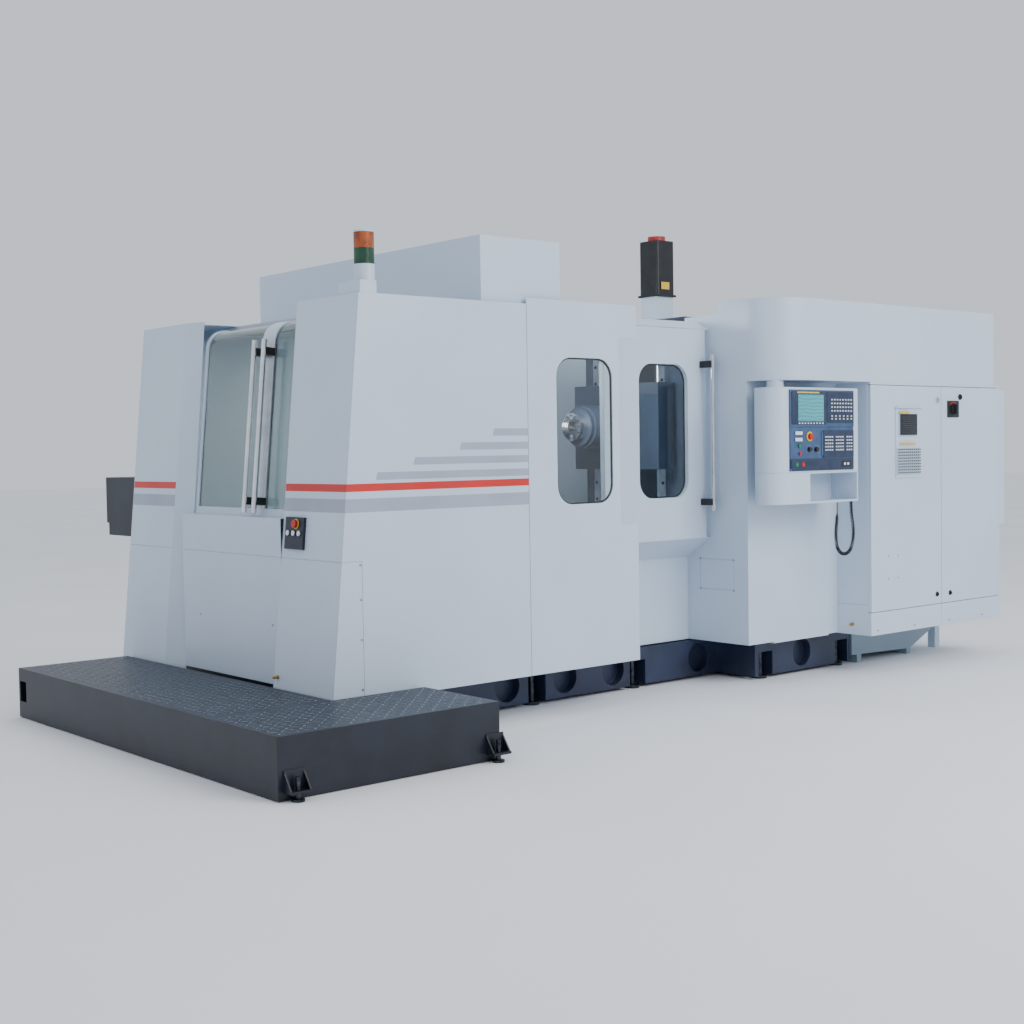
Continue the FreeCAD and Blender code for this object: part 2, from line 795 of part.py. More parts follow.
def operator_door_handle():
    """Chromed pull bar with a block near each end."""
    x, y = 1940.0, op_door_front - 88
    pieces = [rod(15, (x, y, 1135), (0, 0, 1), 1005)]
    for z in (1170, 2060):
        pieces.append(box(x - 28, x + 14, y - 4, op_door_front, z, z + 42))
    return join(pieces)


def roof_panels():
    """Roof sheet with the loading doors' top track and the header over the operator door."""
    inner_y = side_y - sheet
    header_y = op_door_front + 92
    main = prism_z([(enclosure_back_x, -inner_y), (second_panel_end, -inner_y),
                    (second_panel_end, header_y), (column_room_x, header_y),
                    (column_room_x, inner_y), (enclosure_back_x, inner_y)],
                   roof_top - sheet, roof_top)
    track = box(enclosure_back_x - 60, enclosure_back_x, -inner_y, inner_y, load_door_top,
                far_pillar_top - sheet)
    strip = box(enclosure_back_x, enclosure_back_x + sheet, -inner_y, inner_y, load_door_top,
                roof_top - sheet)
    header = prism_x([(op_door_front, op_door_top + 2), (header_y, 2365), (header_y + 44, 2365),
                      (header_y + 44, roof_top - sheet), (header_y + 38, roof_top - sheet),
                      (header_y + 38, 2361), (header_y + 2, 2361),
                      (op_door_front + 8, op_door_top + 2)],
                     first_panel_end + 26, column_room_x)
    return join([main, track, strip, header])


def rear_panel():
    """Rear wall along the whole machine with its return round the column."""
    low, high = side_y - sheet, side_y
    right = 3300.0
    wall = prism_y([(end_x(panel_bottom), panel_bottom), (right, panel_bottom),
                    (right, cover_low_top), (column_room_x, cover_low_top),
                    (column_room_x, far_pillar_top), (end_x(far_pillar_top), far_pillar_top)],
                   low, high)
    back = box(right - sheet, right, cabinet_back, high, panel_bottom + 4, cover_low_top)
    foot_strip = box(first_panel_end, right, cross_flange_y - 60, high, flange_top, flange_top + 6)
    return join([wall, back, foot_strip])


def roof_housing():
    outer = box(housing_left, housing_right, -housing_half_y, housing_half_y, roof_top, housing_top)
    inner = box(housing_left + sheet, housing_right - sheet, -housing_half_y + sheet,
                housing_half_y - sheet, roof_top - 1, housing_top - sheet)
    header_gap = box(first_panel_end, housing_right + 1, op_door_front + 60, op_door_front + 148,
                     roof_top - 1, roof_top + 20)
    return cut(outer, [inner, header_gap])


def signal_tower():
    block_top = body_top + tower_block_height
    lens_top = lens_z + 2 * lens_height
    block = box(tower_block_left, tower_block_right, -side_y, -side_y + tower_block_depth,
                body_top, block_top)
    base = rod(tower_radius, (tower_x, tower_y, block_top), (0, 0, 1), lens_z - block_top)
    stem = rod(tower_stem_radius, (tower_x, tower_y, lens_z), (0, 0, 1),
               2 * lens_height + tower_cap)
    cap = rod(tower_radius, (tower_x, tower_y, lens_top), (0, 0, 1), tower_cap)
    return join([block, base, stem, cap])


def tower_lenses():
    lenses = []
    for index in range(2):
        base = (tower_x, tower_y, lens_z + index * lens_height)
        lens = rod(tower_radius - 1, base, (0, 0, 1), lens_height)
        bore = rod(tower_stem_radius + shaft_gap, base, (0, 0, 1), lens_height)
        lenses.append(lens.cut(bore))
    return lenses


# ---------------------------------------------------------------- column cover and canopy

def column_cover():
    """Sheet-steel cover in front of the column, taller over its front bay."""
    left = column_room_x
    step_y = cover_front + 245
    back_y = cabinet_back + 14
    front = box(left, cabinet_left, cover_front, cover_front + sheet, cover_bottom, cover_top)
    side_outline = [(cover_front, cover_bottom), (low_panel_y + sheet, cover_bottom),
                    (low_panel_y + sheet, cover_low_top), (step_y, cover_low_top),
                    (step_y, cover_top), (cover_front, cover_top)]
    wall = prism_x(side_outline, left, left + sheet)
    top = box(left, cabinet_left, cover_front, step_y, cover_top - sheet, cover_top)
    riser = box(left, cabinet_left, step_y - sheet, step_y, cover_low_top - sheet, cover_top)
    shelf = box(left, cabinet_left, step_y - sheet, back_y, cover_low_top - sheet, cover_low_top)
    base = box(cross_left, cabinet_left - 100, cover_front, -cross_flange_y + 40, flange_top,
               cover_bottom + sheet)
    whole = join([front, wall, top, riser, shelf, base])
    x0, x1 = left - 1, left + 2
    ring = box(x0, x1, -1194, -900, 616, 815).cut(box(x0, x1, -1191, -903, 619, 812))
    return whole.cut(ring)


def canopy_outline(inset, z):
    radius = canopy_radius - inset
    left = column_room_x + 0.5 + inset
    front = cabinet_front + inset
    centre = FreeCAD.Vector(left + radius, front + radius, z)
    start = FreeCAD.Vector(left, centre.y, z)
    end = FreeCAD.Vector(centre.x, front, z)
    half = radius * math.sqrt(0.5)
    middle = FreeCAD.Vector(centre.x - half, centre.y - half, z)
    back = cabinet_back - inset
    cover_y = cover_front
    corners = [end, FreeCAD.Vector(canopy_right - inset, front, z),
               FreeCAD.Vector(canopy_right - inset, back, z),
               FreeCAD.Vector(cabinet_left + inset, back, z),
               FreeCAD.Vector(cabinet_left + inset, cover_y, z),
               FreeCAD.Vector(left, cover_y, z)]
    edges = [Part.Arc(start, middle, end).toShape()]
    corners.append(start)
    for first, second in zip(corners, corners[1:]):
        if first.distanceToPoint(second) > 0.01:
            edges.append(Part.LineSegment(first, second).toShape())
    return Part.Face(Part.Wire(edges))


def canopy():
    """Overhead fairing, open behind against the column cover and below over the cabinet."""
    outer = canopy_outline(0, canopy_bottom).extrude(
        FreeCAD.Vector(0, 0, cover_top - 5 - canopy_bottom))
    inner = canopy_outline(sheet, canopy_bottom + sheet).extrude(
        FreeCAD.Vector(0, 0, cover_top - 5 - canopy_bottom - 2 * sheet))
    below = box(cabinet_left + 300, canopy_right - 40, cabinet_front + 60, cabinet_back - 40,
                canopy_bottom - 1, canopy_bottom + sheet + 1)
    pivot = rod(pivot_pin_radius + shaft_gap, (pivot_x, pivot_y, canopy_bottom - 1), (0, 0, 1), 60)
    return cut(outer, [inner, below, pivot])


# ---------------------------------------------------------------- cabinet

def cabinet_case():
    """Electrical cabinet: open-fronted case, skirt, end duct, bed bracket and rear leg."""
    front = cabinet_front + cabinet_door_thick
    top = canopy_bottom
    left, right = cabinet_left, cabinet_right
    outer = box(left, right, front, cabinet_back, 268, top)
    inner = box(left + sheet, right - sheet, front - 1, cabinet_back - sheet,
                cabinet_door_bottom, cabinet_door_top)
    skirt = box(left, right, cabinet_front, front, 268, cabinet_door_bottom - 4)
    skirt_room = box(left + sheet, right - sheet, cabinet_front + sheet, cabinet_back - sheet,
                     267, cabinet_door_bottom - 10)
    header = box(left, right, cabinet_front, front, cabinet_door_top + 4, top)
    duct = box(right, right + 106, -1560, -1160, 943, 1930)
    whole = join([outer, skirt, header, duct])
    leg = box(right - 100, right - 40, cabinet_back - 66, cabinet_back - sheet, 0,
              cabinet_door_bottom - 10)
    grooves = [box(left - 1, left + 2, cabinet_front - 1, cabinet_back, 472.5, 475.5),
               box(cabinet_split_x - 1.5, cabinet_split_x + 1.5, cabinet_front - 1,
                   cabinet_front + 2, 267, cabinet_door_bottom)]
    whole = cut(whole, [inner, skirt_room] + grooves)
    pad = box(left + 40, cross_right - 40, -cross_flange_y + 4, cabinet_back - sheet, flange_top,
              cabinet_door_bottom - 10)
    return join([whole, pad, leg])


def cabinet_door(x0, x1, bores, pads):
    back = cabinet_front + cabinet_door_thick
    door = box(x0, x1, cabinet_front, back - slide_gap, cabinet_door_bottom, cabinet_door_top)
    pocket = box(x0 + 25, x1 - 25, cabinet_front + 3, back, cabinet_door_bottom + 25,
                 cabinet_door_top - 25)
    whole = join([door.cut(pocket)] + pads)
    return cut(whole, bores)


lock_radius = 15.0
lock_left_at = (3700.0, 1848.0)
lock_right_at = (3980.0, 1872.0)
switch_at = (3890.0, 1786.0)
fan_x = (3204.0, 3498.0)
fan_z = (1316.0, 1789.0)


def lock_bore(place):
    return rod(lock_radius + shaft_gap, (place[0], cabinet_front - 20, place[1]), (0, 1, 0), 60)


def cabinet_door_left():
    x0 = cabinet_left + 4
    x1 = cabinet_split_x - 2
    vent = box(fan_x[0] + 30, fan_x[1] - 30, cabinet_front - 1, cabinet_front + 30,
               fan_z[0] + 30, fan_z[1] - 30)
    return cabinet_door(x0, x1, [lock_bore(lock_left_at), vent], [])


def cabinet_door_right():
    x0 = cabinet_split_x + 2
    x1 = cabinet_right - 4
    pad = box(switch_at[0] - 68, switch_at[0] + 68, cabinet_front - 8, cabinet_front + 2,
              switch_at[1] - 58, switch_at[1] + 58)
    bore = rod(12 + shaft_gap, (switch_at[0], cabinet_front - 20, switch_at[1]), (0, 1, 0), 60)
    return cabinet_door(x0, x1, [lock_bore(lock_right_at), bore], [pad])


def fan_unit():
    """Cooling unit: base plate, drip rail, square fan and louvred outlet."""
    x0, x1 = fan_x
    z0, z1 = fan_z
    front = cabinet_front - 6
    plate = box(x0, x1, front, cabinet_front, z0, z1)
    rail = box(x0 - 6, x1 + 6, front - 14, cabinet_front, z1, z1 + 8)
    inside = box(x0 + 34, x1 - 34, cabinet_front, cabinet_front + 120, z0 + 34, z1 - 34)
    fan = box(x0 + 28, x0 + 236, front - 14, front, 1604, 1750)
    outlet = box(x0 + 4, x1 - 24, front - 6, front, 1341, 1520)
    slots = []
    for index in range(9):
        z = 1352 + index * 19
        slots.append(box(x0 + 14, x1 - 34, front - 7, front - 2, z, z + 9))
    mouth = rod(62, (x0 + 132, front - 15, 1677), (0, 1, 0), 11)
    return cut(join([plate, rail, inside, fan, outlet]), slots + [mouth])


def quarter_lock(place):
    """Round lock barrel with a cam behind the door."""
    head = rod(lock_radius + 5, (place[0], cabinet_front - 8, place[1]), (0, 1, 0), 8)
    barrel = rod(lock_radius, (place[0], cabinet_front - 1, place[1]), (0, 1, 0), 19)
    slot = box(place[0] - 2, place[0] + 2, cabinet_front - 9, cabinet_front - 3, place[1] - 9,
               place[1] + 9)
    return join([head, barrel]).cut(slot)


def main_switch():
    face = cabinet_front - 8
    shaft = rod(12, (switch_at[0], face, switch_at[1]), (0, 1, 0), 22)
    disc = rod(38, (switch_at[0], face - 10, switch_at[1]), (0, 1, 0), 10)
    grip = rounded_block(switch_at[0] - 10, switch_at[0] + 10, face - 34, face - 9,
                         switch_at[1] - 36, switch_at[1] + 36, 8)
    return join([shaft, disc, grip])


def coolant_tank():
    outline = [(3300, tank_top), (3300, 60), (4000, 40), (4370, 200), (4370, tank_top)]
    tank = prism_y(outline, -1150, -300)
    skids = [box(x, x + 50, -1150, -300, 0, 130) for x in (3360, 3960)]
    return join([tank] + skids)


def chip_conveyor():
    """Trough on the floor, incline, discharge head with its spout, and a leg."""
    y0 = side_y
    y1 = side_y + conveyor_width
    body = prism_y([(1900, 40), (1900, 260), (40, 260), (-640, 1410), (-950, 1410), (-950, 1110),
                    (-740, 1110), (-80, 40)], y0, y1)
    spout = prism_y([(-950, 1120), (-790, 1120), (-820, 1030), (-950, 1030)], y0 + 30, y1 - 30)
    room = prism_y([(-935, 1150), (-935, 1029), (-835, 1029), (-805, 1150)], y0 + 45, y1 - 45)
    feet = [box(x, x + 60, y0 + 20, y1 - 20, 0, 60) for x in (120, 1780)]
    leg = box(-700, -640, y0 + 200, y0 + 260, 0, 1060)
    return join([body, spout] + feet + [leg]).cut(room)


# ---------------------------------------------------------------- call station

station_holes = {"station_stop": (station_y - 15, station_z + 50),
                 "station_button_1": (station_y - 55, station_z),
                 "station_button_2": (station_y, station_z),
                 "station_button_3": (station_y + 55, station_z)}
station_top_stem = 9.0


def station_plate():
    half_y = station_width / 2
    half_z = station_height / 2
    middle = up_face(station_z)
    block = box(-station_thick, 0, station_y - half_y, station_y + half_y, middle - half_z,
                middle + half_z)
    bores = []
    for y, z in station_holes.values():
        bores.append(rod(station_top_stem + shaft_gap, (-station_thick - 1, y, up_face(z)),
                         (1, 0, 0), station_thick - 3))
    return lean(cut(block, bores))


def press_button(axis_place, radius, stem, cap_depth, stem_depth, travel, toward):
    """Button whose cap stands clear of its seat by its travel; toward is the press direction."""
    x, y, z = axis_place
    dx, dy = toward
    cap_start = (x - dx * (cap_depth + travel), y - dy * (cap_depth + travel), z)
    cap = rod(radius, cap_start, (dx, dy, 0), cap_depth)
    shank = rod(stem, (x - dx * travel, y - dy * travel, z), (dx, dy, 0), travel + stem_depth)
    return cap.fuse(shank).removeSplitter()


def station_button(name):
    y, z = station_holes[name]
    radius = 22 if name == "station_stop" else 14
    depth = 14 if name == "station_stop" else 5
    place = (-station_thick, y, up_face(z))
    return lean(press_button(place, radius, station_top_stem, depth, 6, 4, (1, 0)))


# ---------------------------------------------------------------- pendant

pendant_wall = 4.0
face_left = 2023.0
face_right = 2672.0
face_bottom = 1387.0
face_top = 1895.0
pendant_holes = {"pendant_stop": (2216.0, 1603.0, 20.0, 16.0),
                 "start_button": (2114.0, 1545.0, 11.0, 6.0),
                 "hold_button": (2119.0, 1497.0, 11.0, 6.0),
                 "power_on_button": (2085.0, 1429.0, 14.0, 7.0),
                 "power_off_button": (2147.0, 1428.0, 14.0, 7.0),
                 "feed_knob": (2211.0, 1522.0, knob_radius, 16.0),
                 "spindle_knob": (2280.0, 1521.0, knob_radius, 16.0)}


def pendant_outline(inset, z):
    """Plan of the pendant: a half-round left end and a square right end."""
    radius = (pendant_back - pendant_front) / 2 - inset
    middle_y = (pendant_front + pendant_back) / 2
    centre_x = pendant_left + inset + radius
    right = pendant_right - inset
    front = FreeCAD.Vector(centre_x, middle_y - radius, z)
    back = FreeCAD.Vector(centre_x, middle_y + radius, z)
    tip = FreeCAD.Vector(pendant_left + inset, middle_y, z)
    corner_back = FreeCAD.Vector(right, middle_y + radius, z)
    corner_front = FreeCAD.Vector(right, middle_y - radius, z)
    edges = [Part.Arc(front, tip, back).toShape(),
             Part.LineSegment(back, corner_back).toShape(),
             Part.LineSegment(corner_back, corner_front).toShape(),
             Part.LineSegment(corner_front, front).toShape()]
    return Part.Face(Part.Wire(edges))


def hole_tools(y, depth):
    tools = []
    for x, z, _, _ in pendant_holes.values():
        tools.append(rod(button_stem + shaft_gap, (x, y, z), (0, 1, 0), depth))
    return tools


def pendant_housing():
    """Sheet housing on its pivot collar, with a shelf niche under the control face."""
    outer = pendant_outline(0, pendant_bottom).extrude(
        FreeCAD.Vector(0, 0, pendant_top - pendant_bottom))
    room = pendant_outline(pendant_wall, pendant_seam).extrude(
        FreeCAD.Vector(0, 0, pendant_top - pendant_wall - pendant_seam))
    niche = box(2230, pendant_right - 12, pendant_front - 1, pendant_front + 205,
                pendant_bottom + 14, pendant_seam - 10)
    rim = pendant_outline(-1, pendant_seam - 1.5).extrude(FreeCAD.Vector(0, 0, 3))
    rim = rim.cut(pendant_outline(1.5, pendant_seam - 1.5).extrude(FreeCAD.Vector(0, 0, 3)))
    collar = rod(collar_radius, (pivot_x, pivot_y, pendant_top), (0, 0, 1),
                 canopy_bottom - pendant_top)
    pin = rod(pivot_pin_radius, (pivot_x, pivot_y, pendant_top), (0, 0, 1),
              canopy_bottom + 40 - pendant_top)
    duct = rod(pivot_pin_radius - 8, (pivot_x, pivot_y, pendant_top - 10), (0, 0, 1), 120)
    whole = join([outer, collar, pin])
    return cut(whole, [room, niche, rim, duct] + hole_tools(pendant_front - 1, pendant_wall + 2))


def control_face():
    """Display unit, operator panel and power strip on one mounting plate."""
    back = pendant_front
    front = back - face_thick
    plate = box(face_left, face_right, front, back, face_bottom, face_top)
    display = box(face_left, face_right, front - 5, front, 1664, face_top)
    screen = box(2101, 2355, front - 6, front - 2, 1698, 1866)
    keys = box(2395, face_right - 8, front - 6, front - 3, 1672, face_top - 12)
    panel = box(face_left + 7, face_right, front - 2, front, 1459, 1657)
    pad = box(2335, face_right - 4, front - 6, front - 2, 1480, 1630)
    whole = join([plate, display, panel, pad])
    whole = cut(whole, [screen, keys])
    collar = rod(31, (2216, front - 4, 1603), (0, 1, 0), 3)
    whole = join([whole, collar])
    return cut(whole, hole_tools(front - 10, 20))


def pendant_button(name):
    x, z, radius, depth = pendant_holes[name]
    travel = 0.6 if name.endswith("knob") else 4.0
    seat = pendant_front - face_thick - 2
    if name == "pendant_stop":
        seat -= 2
    if name.startswith("power"):
        seat += 2
    reach = pendant_front + pendant_wall + 3 - seat
    return press_button((x, seat, z), radius, button_stem, depth, reach, travel, (0, 1))


# ---------------------------------------------------------------- curly cord

cord_radius = 12.0
cord_route = [(2548, -1600, 1180), (2548, -1600, 1078), (2528, -1600, 968), (2540, -1600, 880),
              (2600, -1600, 832), (2676, -1600, 846), (2716, -1600, 912), (2718, -1600, 1008),
              (2694, -1600, 1100), (2694, -1600, 1180)]


def cord_path(route):
    """Straight runs joined by tangent arcs, each as large as its two runs allow."""
    points = [FreeCAD.Vector(*point) for point in route]
    edges = []
    cursor = points[0]
    for before, corner, after in zip(points, points[1:], points[2:]):
        inward = (corner - before).normalize()
        outward = (after - corner).normalize()
        turn = inward.getAngle(outward)
        cutback = 0.45 * min(corner.distanceToPoint(before), corner.distanceToPoint(after))
        radius = cutback / math.tan(turn / 2)
        print("cord arc radius", round(radius, 1))
        start = corner - inward * cutback
        end = corner + outward * cutback
        bisector = (outward - inward).normalize()
        centre = corner + bisector * (radius / math.cos(turn / 2))
        middle = centre - bisector * radius
        edges.append(Part.LineSegment(cursor, start).toShape())
        edges.append(Part.Arc(start, middle, end).toShape())
        cursor = end
    edges.append(Part.LineSegment(cursor, points[-1]).toShape())
    return Part.Wire(edges)


def handwheel_cord():
    path = cord_path(cord_route)
    first = FreeCAD.Vector(*cord_route[0])
    second = FreeCAD.Vector(*cord_route[1])
    ring = Part.Wire(Part.makeCircle(cord_radius, first, second - first))
    tube = path.makePipeShell([ring], True, False)
    ideal = math.pi * cord_radius ** 2 * path.Length
    print("cord length", round(path.Length, 1), "volume share", round(tube.Volume / ideal, 4))
    return tube


# ---------------------------------------------------------------- build

os.makedirs("parts", exist_ok=True)
builders = [platform, levelling_feet, bed_casting, way_rails, end_pillars, end_centre_panel,
            side_panel_front, side_panel_window, side_window_pane, low_panel, rear_panel,
            roof_panels, roof_housing, column_cover, canopy, cabinet_case, coolant_tank,
            chip_conveyor, signal_tower, tower_lenses, station_plate, column_casting, head_rails,
            head_motor, head_screw, head_casting, spindle_nose, table_saddle, rotary_table,
            pallet, tool_magazine, magazine_frame, changer_arm, load_door_near, load_door_far,
            operator_door, operator_door_pane, operator_door_handle, pendant_housing,
            control_face, handwheel_cord, cabinet_door_left, cabinet_door_right, fan_unit,
            main_switch]
for builder in builders:
    save(builder.__name__, builder())
save("load_door_near_pane", load_door_pane(near_door_y, thin_stile, meeting_stile))
save("load_door_far_pane", load_door_pane(far_door_y, meeting_stile / 2, thin_stile))
for name in station_holes:
    save(name, station_button(name))
for name in pendant_holes:
    save(name, pendant_button(name))
save("lock_left", quarter_lock(lock_left_at))
save("lock_right", quarter_lock(lock_right_at))
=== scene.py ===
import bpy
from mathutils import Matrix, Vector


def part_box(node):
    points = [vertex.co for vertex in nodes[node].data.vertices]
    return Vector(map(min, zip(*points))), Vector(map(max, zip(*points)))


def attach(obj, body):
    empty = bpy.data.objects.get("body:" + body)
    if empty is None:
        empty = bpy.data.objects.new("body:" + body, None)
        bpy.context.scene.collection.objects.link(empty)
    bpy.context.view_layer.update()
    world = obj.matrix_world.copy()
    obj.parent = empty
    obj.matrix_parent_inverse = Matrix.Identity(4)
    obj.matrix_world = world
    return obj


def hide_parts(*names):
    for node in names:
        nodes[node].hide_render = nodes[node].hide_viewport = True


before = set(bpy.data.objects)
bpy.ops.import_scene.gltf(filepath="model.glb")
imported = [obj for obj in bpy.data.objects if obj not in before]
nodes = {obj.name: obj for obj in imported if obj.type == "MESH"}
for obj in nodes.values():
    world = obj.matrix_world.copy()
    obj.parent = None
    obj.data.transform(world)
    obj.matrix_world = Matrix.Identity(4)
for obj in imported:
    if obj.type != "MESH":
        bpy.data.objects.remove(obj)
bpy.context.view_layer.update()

import math

import bmesh
import bpy
from mathutils import Matrix, Vector

# ---------------------------------------------------------------- studio
# A plain pale floor under soft studio light, and the camera at a standing person's
# eye height off the machine's front left corner.

camera_data = bpy.data.cameras.new("camera")
camera_data.lens = 51.02
camera_data.sensor_width = 36.0
camera_data.clip_end = 80.0
camera = bpy.data.objects.new("camera", camera_data)
bpy.context.collection.objects.link(camera)
look = Vector((0.6464, 0.7618, -0.0429)).normalized()
aside = Vector((0.76195, -0.64743, -0.01609)).normalized()
upward = aside.cross(look)
camera.matrix_world = (Matrix.Translation((-5.1266, -7.3919, 1.55))
                       @ Matrix((aside, upward, -look)).transposed().to_4x4())
bpy.context.scene.camera = camera


def linear(hex_colour):
    """An sRGB hex colour as a linear RGBA value."""
    channels = [int(hex_colour[i:i + 2], 16) / 255 for i in (1, 3, 5)]
    return [c / 12.92 if c <= 0.04045 else ((c + 0.055) / 1.055) ** 2.4 for c in channels] + [1.0]


def add(tree, kind, settings=None, values=None, links=None):
    """Add one node: settings are its attributes, values and links go to its input sockets."""
    node = tree.nodes.new(kind)
    for key, value in (settings or {}).items():
        setattr(node, key, value)
    for key, value in (values or {}).items():
        node.inputs[key].default_value = value
    for key, source in (links or {}).items():
        tree.links.new(source, node.inputs[key])
    return node


def material(name, colour, roughness, metallic=0.0, **sockets):
    """A named material with its colour, roughness and other shader values set."""
    made = bpy.data.materials.new(name)
    made.use_nodes = True
    shader = made.node_tree.nodes["Principled BSDF"]
    shader.inputs["Base Color"].default_value = linear(colour)
    shader.inputs["Roughness"].default_value = roughness
    shader.inputs["Metallic"].default_value = metallic
    for key, value in sockets.items():
        shader.inputs[key.replace("_", " ")].default_value = value
    return made, made.node_tree, shader


def mottle(tree, shader, colours, scale, spread=(0.35, 0.65)):
    """Vary a shader's colour between two hex colours over soft patches of 1 / scale metres."""
    place = add(tree, "ShaderNodeTexCoord")
    noise = add(tree, "ShaderNodeTexNoise", values={"Scale": scale, "Detail": 3.0},
                links={"Vector": place.outputs["Object"]})
    ramp = add(tree, "ShaderNodeValToRGB", links={"Fac": noise.outputs["Fac"]})
    for stop, position, colour in zip(ramp.color_ramp.elements, spread, colours):
        stop.position = position
        stop.color = linear(colour)
    tree.links.new(ramp.outputs["Color"], shader.inputs["Base Color"])
    return place


def grain(tree, shader, place, scale, height, stretch=(1, 1, 1), edge=0.0):
    """Raise fine grain: 1 / scale metres across and height metres high, over rounded edges."""
    sizing = add(tree, "ShaderNodeMapping", values={"Scale": stretch},
                 links={"Vector": place.outputs["Object"]})
    noise = add(tree, "ShaderNodeTexNoise", values={"Scale": scale, "Detail": 2.0},
                links={"Vector": sizing.outputs["Vector"]})
    bump = add(tree, "ShaderNodeBump", values={"Strength": 1.0, "Distance": height},
               links={"Height": noise.outputs["Fac"]})
    if edge:
        soft = add(tree, "ShaderNodeBevel", {"samples": 4}, {"Radius": edge})
        tree.links.new(soft.outputs["Normal"], bump.inputs["Normal"])
    tree.links.new(bump.outputs["Normal"], shader.inputs["Normal"])
    return noise


floor_mesh = bpy.data.meshes.new("studio_floor")
floor_mesh.from_pydata([(-60, -60, 0), (60, -60, 0), (60, 60, 0), (-60, 60, 0)], [],
                       [(0, 1, 2, 3)])
floor = bpy.data.objects.new("studio_floor", floor_mesh)
bpy.context.collection.objects.link(floor)
floor_paint, floor_tree, floor_shader = material("studio_floor_paint", "#f4f5f7", 0.9)
mottle(floor_tree, floor_shader, ("#f3f4f6", "#f7f8fa"), 0.4)
floor_mesh.materials.append(floor_paint)

sky = bpy.data.worlds.new("studio")
sky.use_nodes = True
sky.node_tree.nodes["Background"].inputs["Color"].default_value = linear("#eaf1fb")
sky.node_tree.nodes["Background"].inputs["Strength"].default_value = 0.95
bpy.context.scene.world = sky
for lamp_name, spot, aim, width, power in (
        ("key_lamp", (2.5, -8.5, 5.5), (1.8, -1.2, 1.1), 5.0, 430.0),
        ("end_lamp", (-8.0, 1.5, 3.5), (-1.0, 0.0, 1.2), 4.0, 14.0),
        ("top_lamp", (1.0, 3.0, 8.0), (1.0, 0.0, 1.0), 6.0, 110.0),
        ("work_lamp_front", (0.9, -0.55, 2.26), (1.8, 0.0, 1.6), 0.5, 34.0),
        ("work_lamp_end", (-0.25, 0.1, 2.27), (-0.1, 0.2, 1.1), 0.6, 11.0)):
    lamp_data = bpy.data.lights.new(lamp_name, "AREA")
    lamp_data.size = width
    lamp_data.energy = power
    lamp = bpy.data.objects.new(lamp_name, lamp_data)
    bpy.context.collection.objects.link(lamp)
    ray = Vector(aim) - Vector(spot)
    lamp.matrix_world = Matrix.Translation(spot) @ ray.to_track_quat("-Z", "Y").to_matrix().to_4x4()

# ---------------------------------------------------------------- entry platform
# A welded deck of chequer plate on a folded skirt, sprayed with near-black enamel.
# Lozenges are rolled into the deck plate at right angles to their neighbours.


def paint(names, made):
    """Give CAD nodes one finish."""
    for name in names:
        nodes[name].data.materials.clear()
        nodes[name].data.materials.append(made)


def place_piece(name, mesh, made, body):
    """Link a finished mesh, give it its finish and let it ride on a body."""
    piece = bpy.data.objects.new(name, mesh)
    bpy.context.collection.objects.link(piece)
    if made is not None:
        mesh.materials.clear()
        mesh.materials.append(made)
    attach(piece, body)
    return piece


class Shape:
    """Collects solid forms into one mesh."""

    def __init__(self):
        self.form = bmesh.new()

    def block(self, low, high, bevel=0.0, frame_at=None):
        """A block between two corners, with its edges rounded by bevel."""
        low, high = Vector(low), Vector(high)
        made = bmesh.ops.create_cube(self.form, size=1.0)["verts"]
        middle = (low + high) / 2
        size = high - low
        for vert in made:
            vert.co = Vector([middle[i] + vert.co[i] * size[i] for i in range(3)])
        if bevel:
            edges = {edge for vert in made for edge in vert.link_edges}
            made = bmesh.ops.bevel(self.form, geom=list(edges), offset=bevel, segments=3,
                                   affect="EDGES", profile=0.5)["verts"]
        if frame_at is not None:
            linked = {v for v in made if v.is_valid}
            bmesh.ops.transform(self.form, matrix=frame_at, verts=list(linked))
        return self

    def lathe(self, start, axis, outline, sides=48):
        """A turned form: outline lists (distance along axis, radius) from end to end."""
        axis = Vector(axis).normalized()
        across = axis.orthogonal().normalized()
        other = axis.cross(across)
        rings = []
        for along, radius in outline:
            centre = Vector(start) + axis * along
            ring = []
            for step in range(sides):
                angle = 2 * math.pi * step / sides
                offset = across * math.cos(angle) + other * math.sin(angle)
                ring.append(self.form.verts.new(centre + offset * radius))
            rings.append(ring)
        for low_ring, high_ring in zip(rings, rings[1:]):
            for step in range(sides):
                after = (step + 1) % sides
                self.form.faces.new((low_ring[step], low_ring[after],
                                     high_ring[after], high_ring[step]))
        self.form.faces.new(rings[0][::-1])
        self.form.faces.new(rings[-1])
        return self

    def extrude(self, corners, sweep):
        """A straight extrusion of a flat outline given as 3-D corners."""
        sweep = Vector(sweep)
        low = [self.form.verts.new(Vector(c)) for c in corners]
        high = [self.form.verts.new(Vector(c) + sweep) for c in corners]
        count = len(corners)
        for i in range(count):
            self.form.faces.new((low[i], low[(i + 1) % count], high[(i + 1) % count], high[i]))
        self.form.faces.new(low[::-1])
        self.form.faces.new(high)
        return self

    def finish(self, name, smooth=True):
        bmesh.ops.recalc_face_normals(self.form, faces=self.form.faces[:])
        mesh = bpy.data.meshes.new(name)
        self.form.to_mesh(mesh)
        self.form.free()
        if smooth:
            mesh.shade_smooth()
            mesh.set_sharp_from_angle(angle=math.radians(38))
        return mesh


# near-black stove enamel on plate: dark navy, half gloss, slight unevenness from the gun
platform_enamel, tree, shader = material("platform_enamel", "#0e121b", 0.42)
place = mottle(tree, shader, ("#12151f", "#191e2c"), 6.0)
grain(tree, shader, place, 220.0, 0.0004, edge=0.003)
paint(["platform"], platform_enamel)
platform_low, platform_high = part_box("platform")
deck_z = platform_high.z
lozenge_pitch = 0.048
lozenge_length = 0.034
lozenge_width = 0.0105
lozenge_height = 0.0022


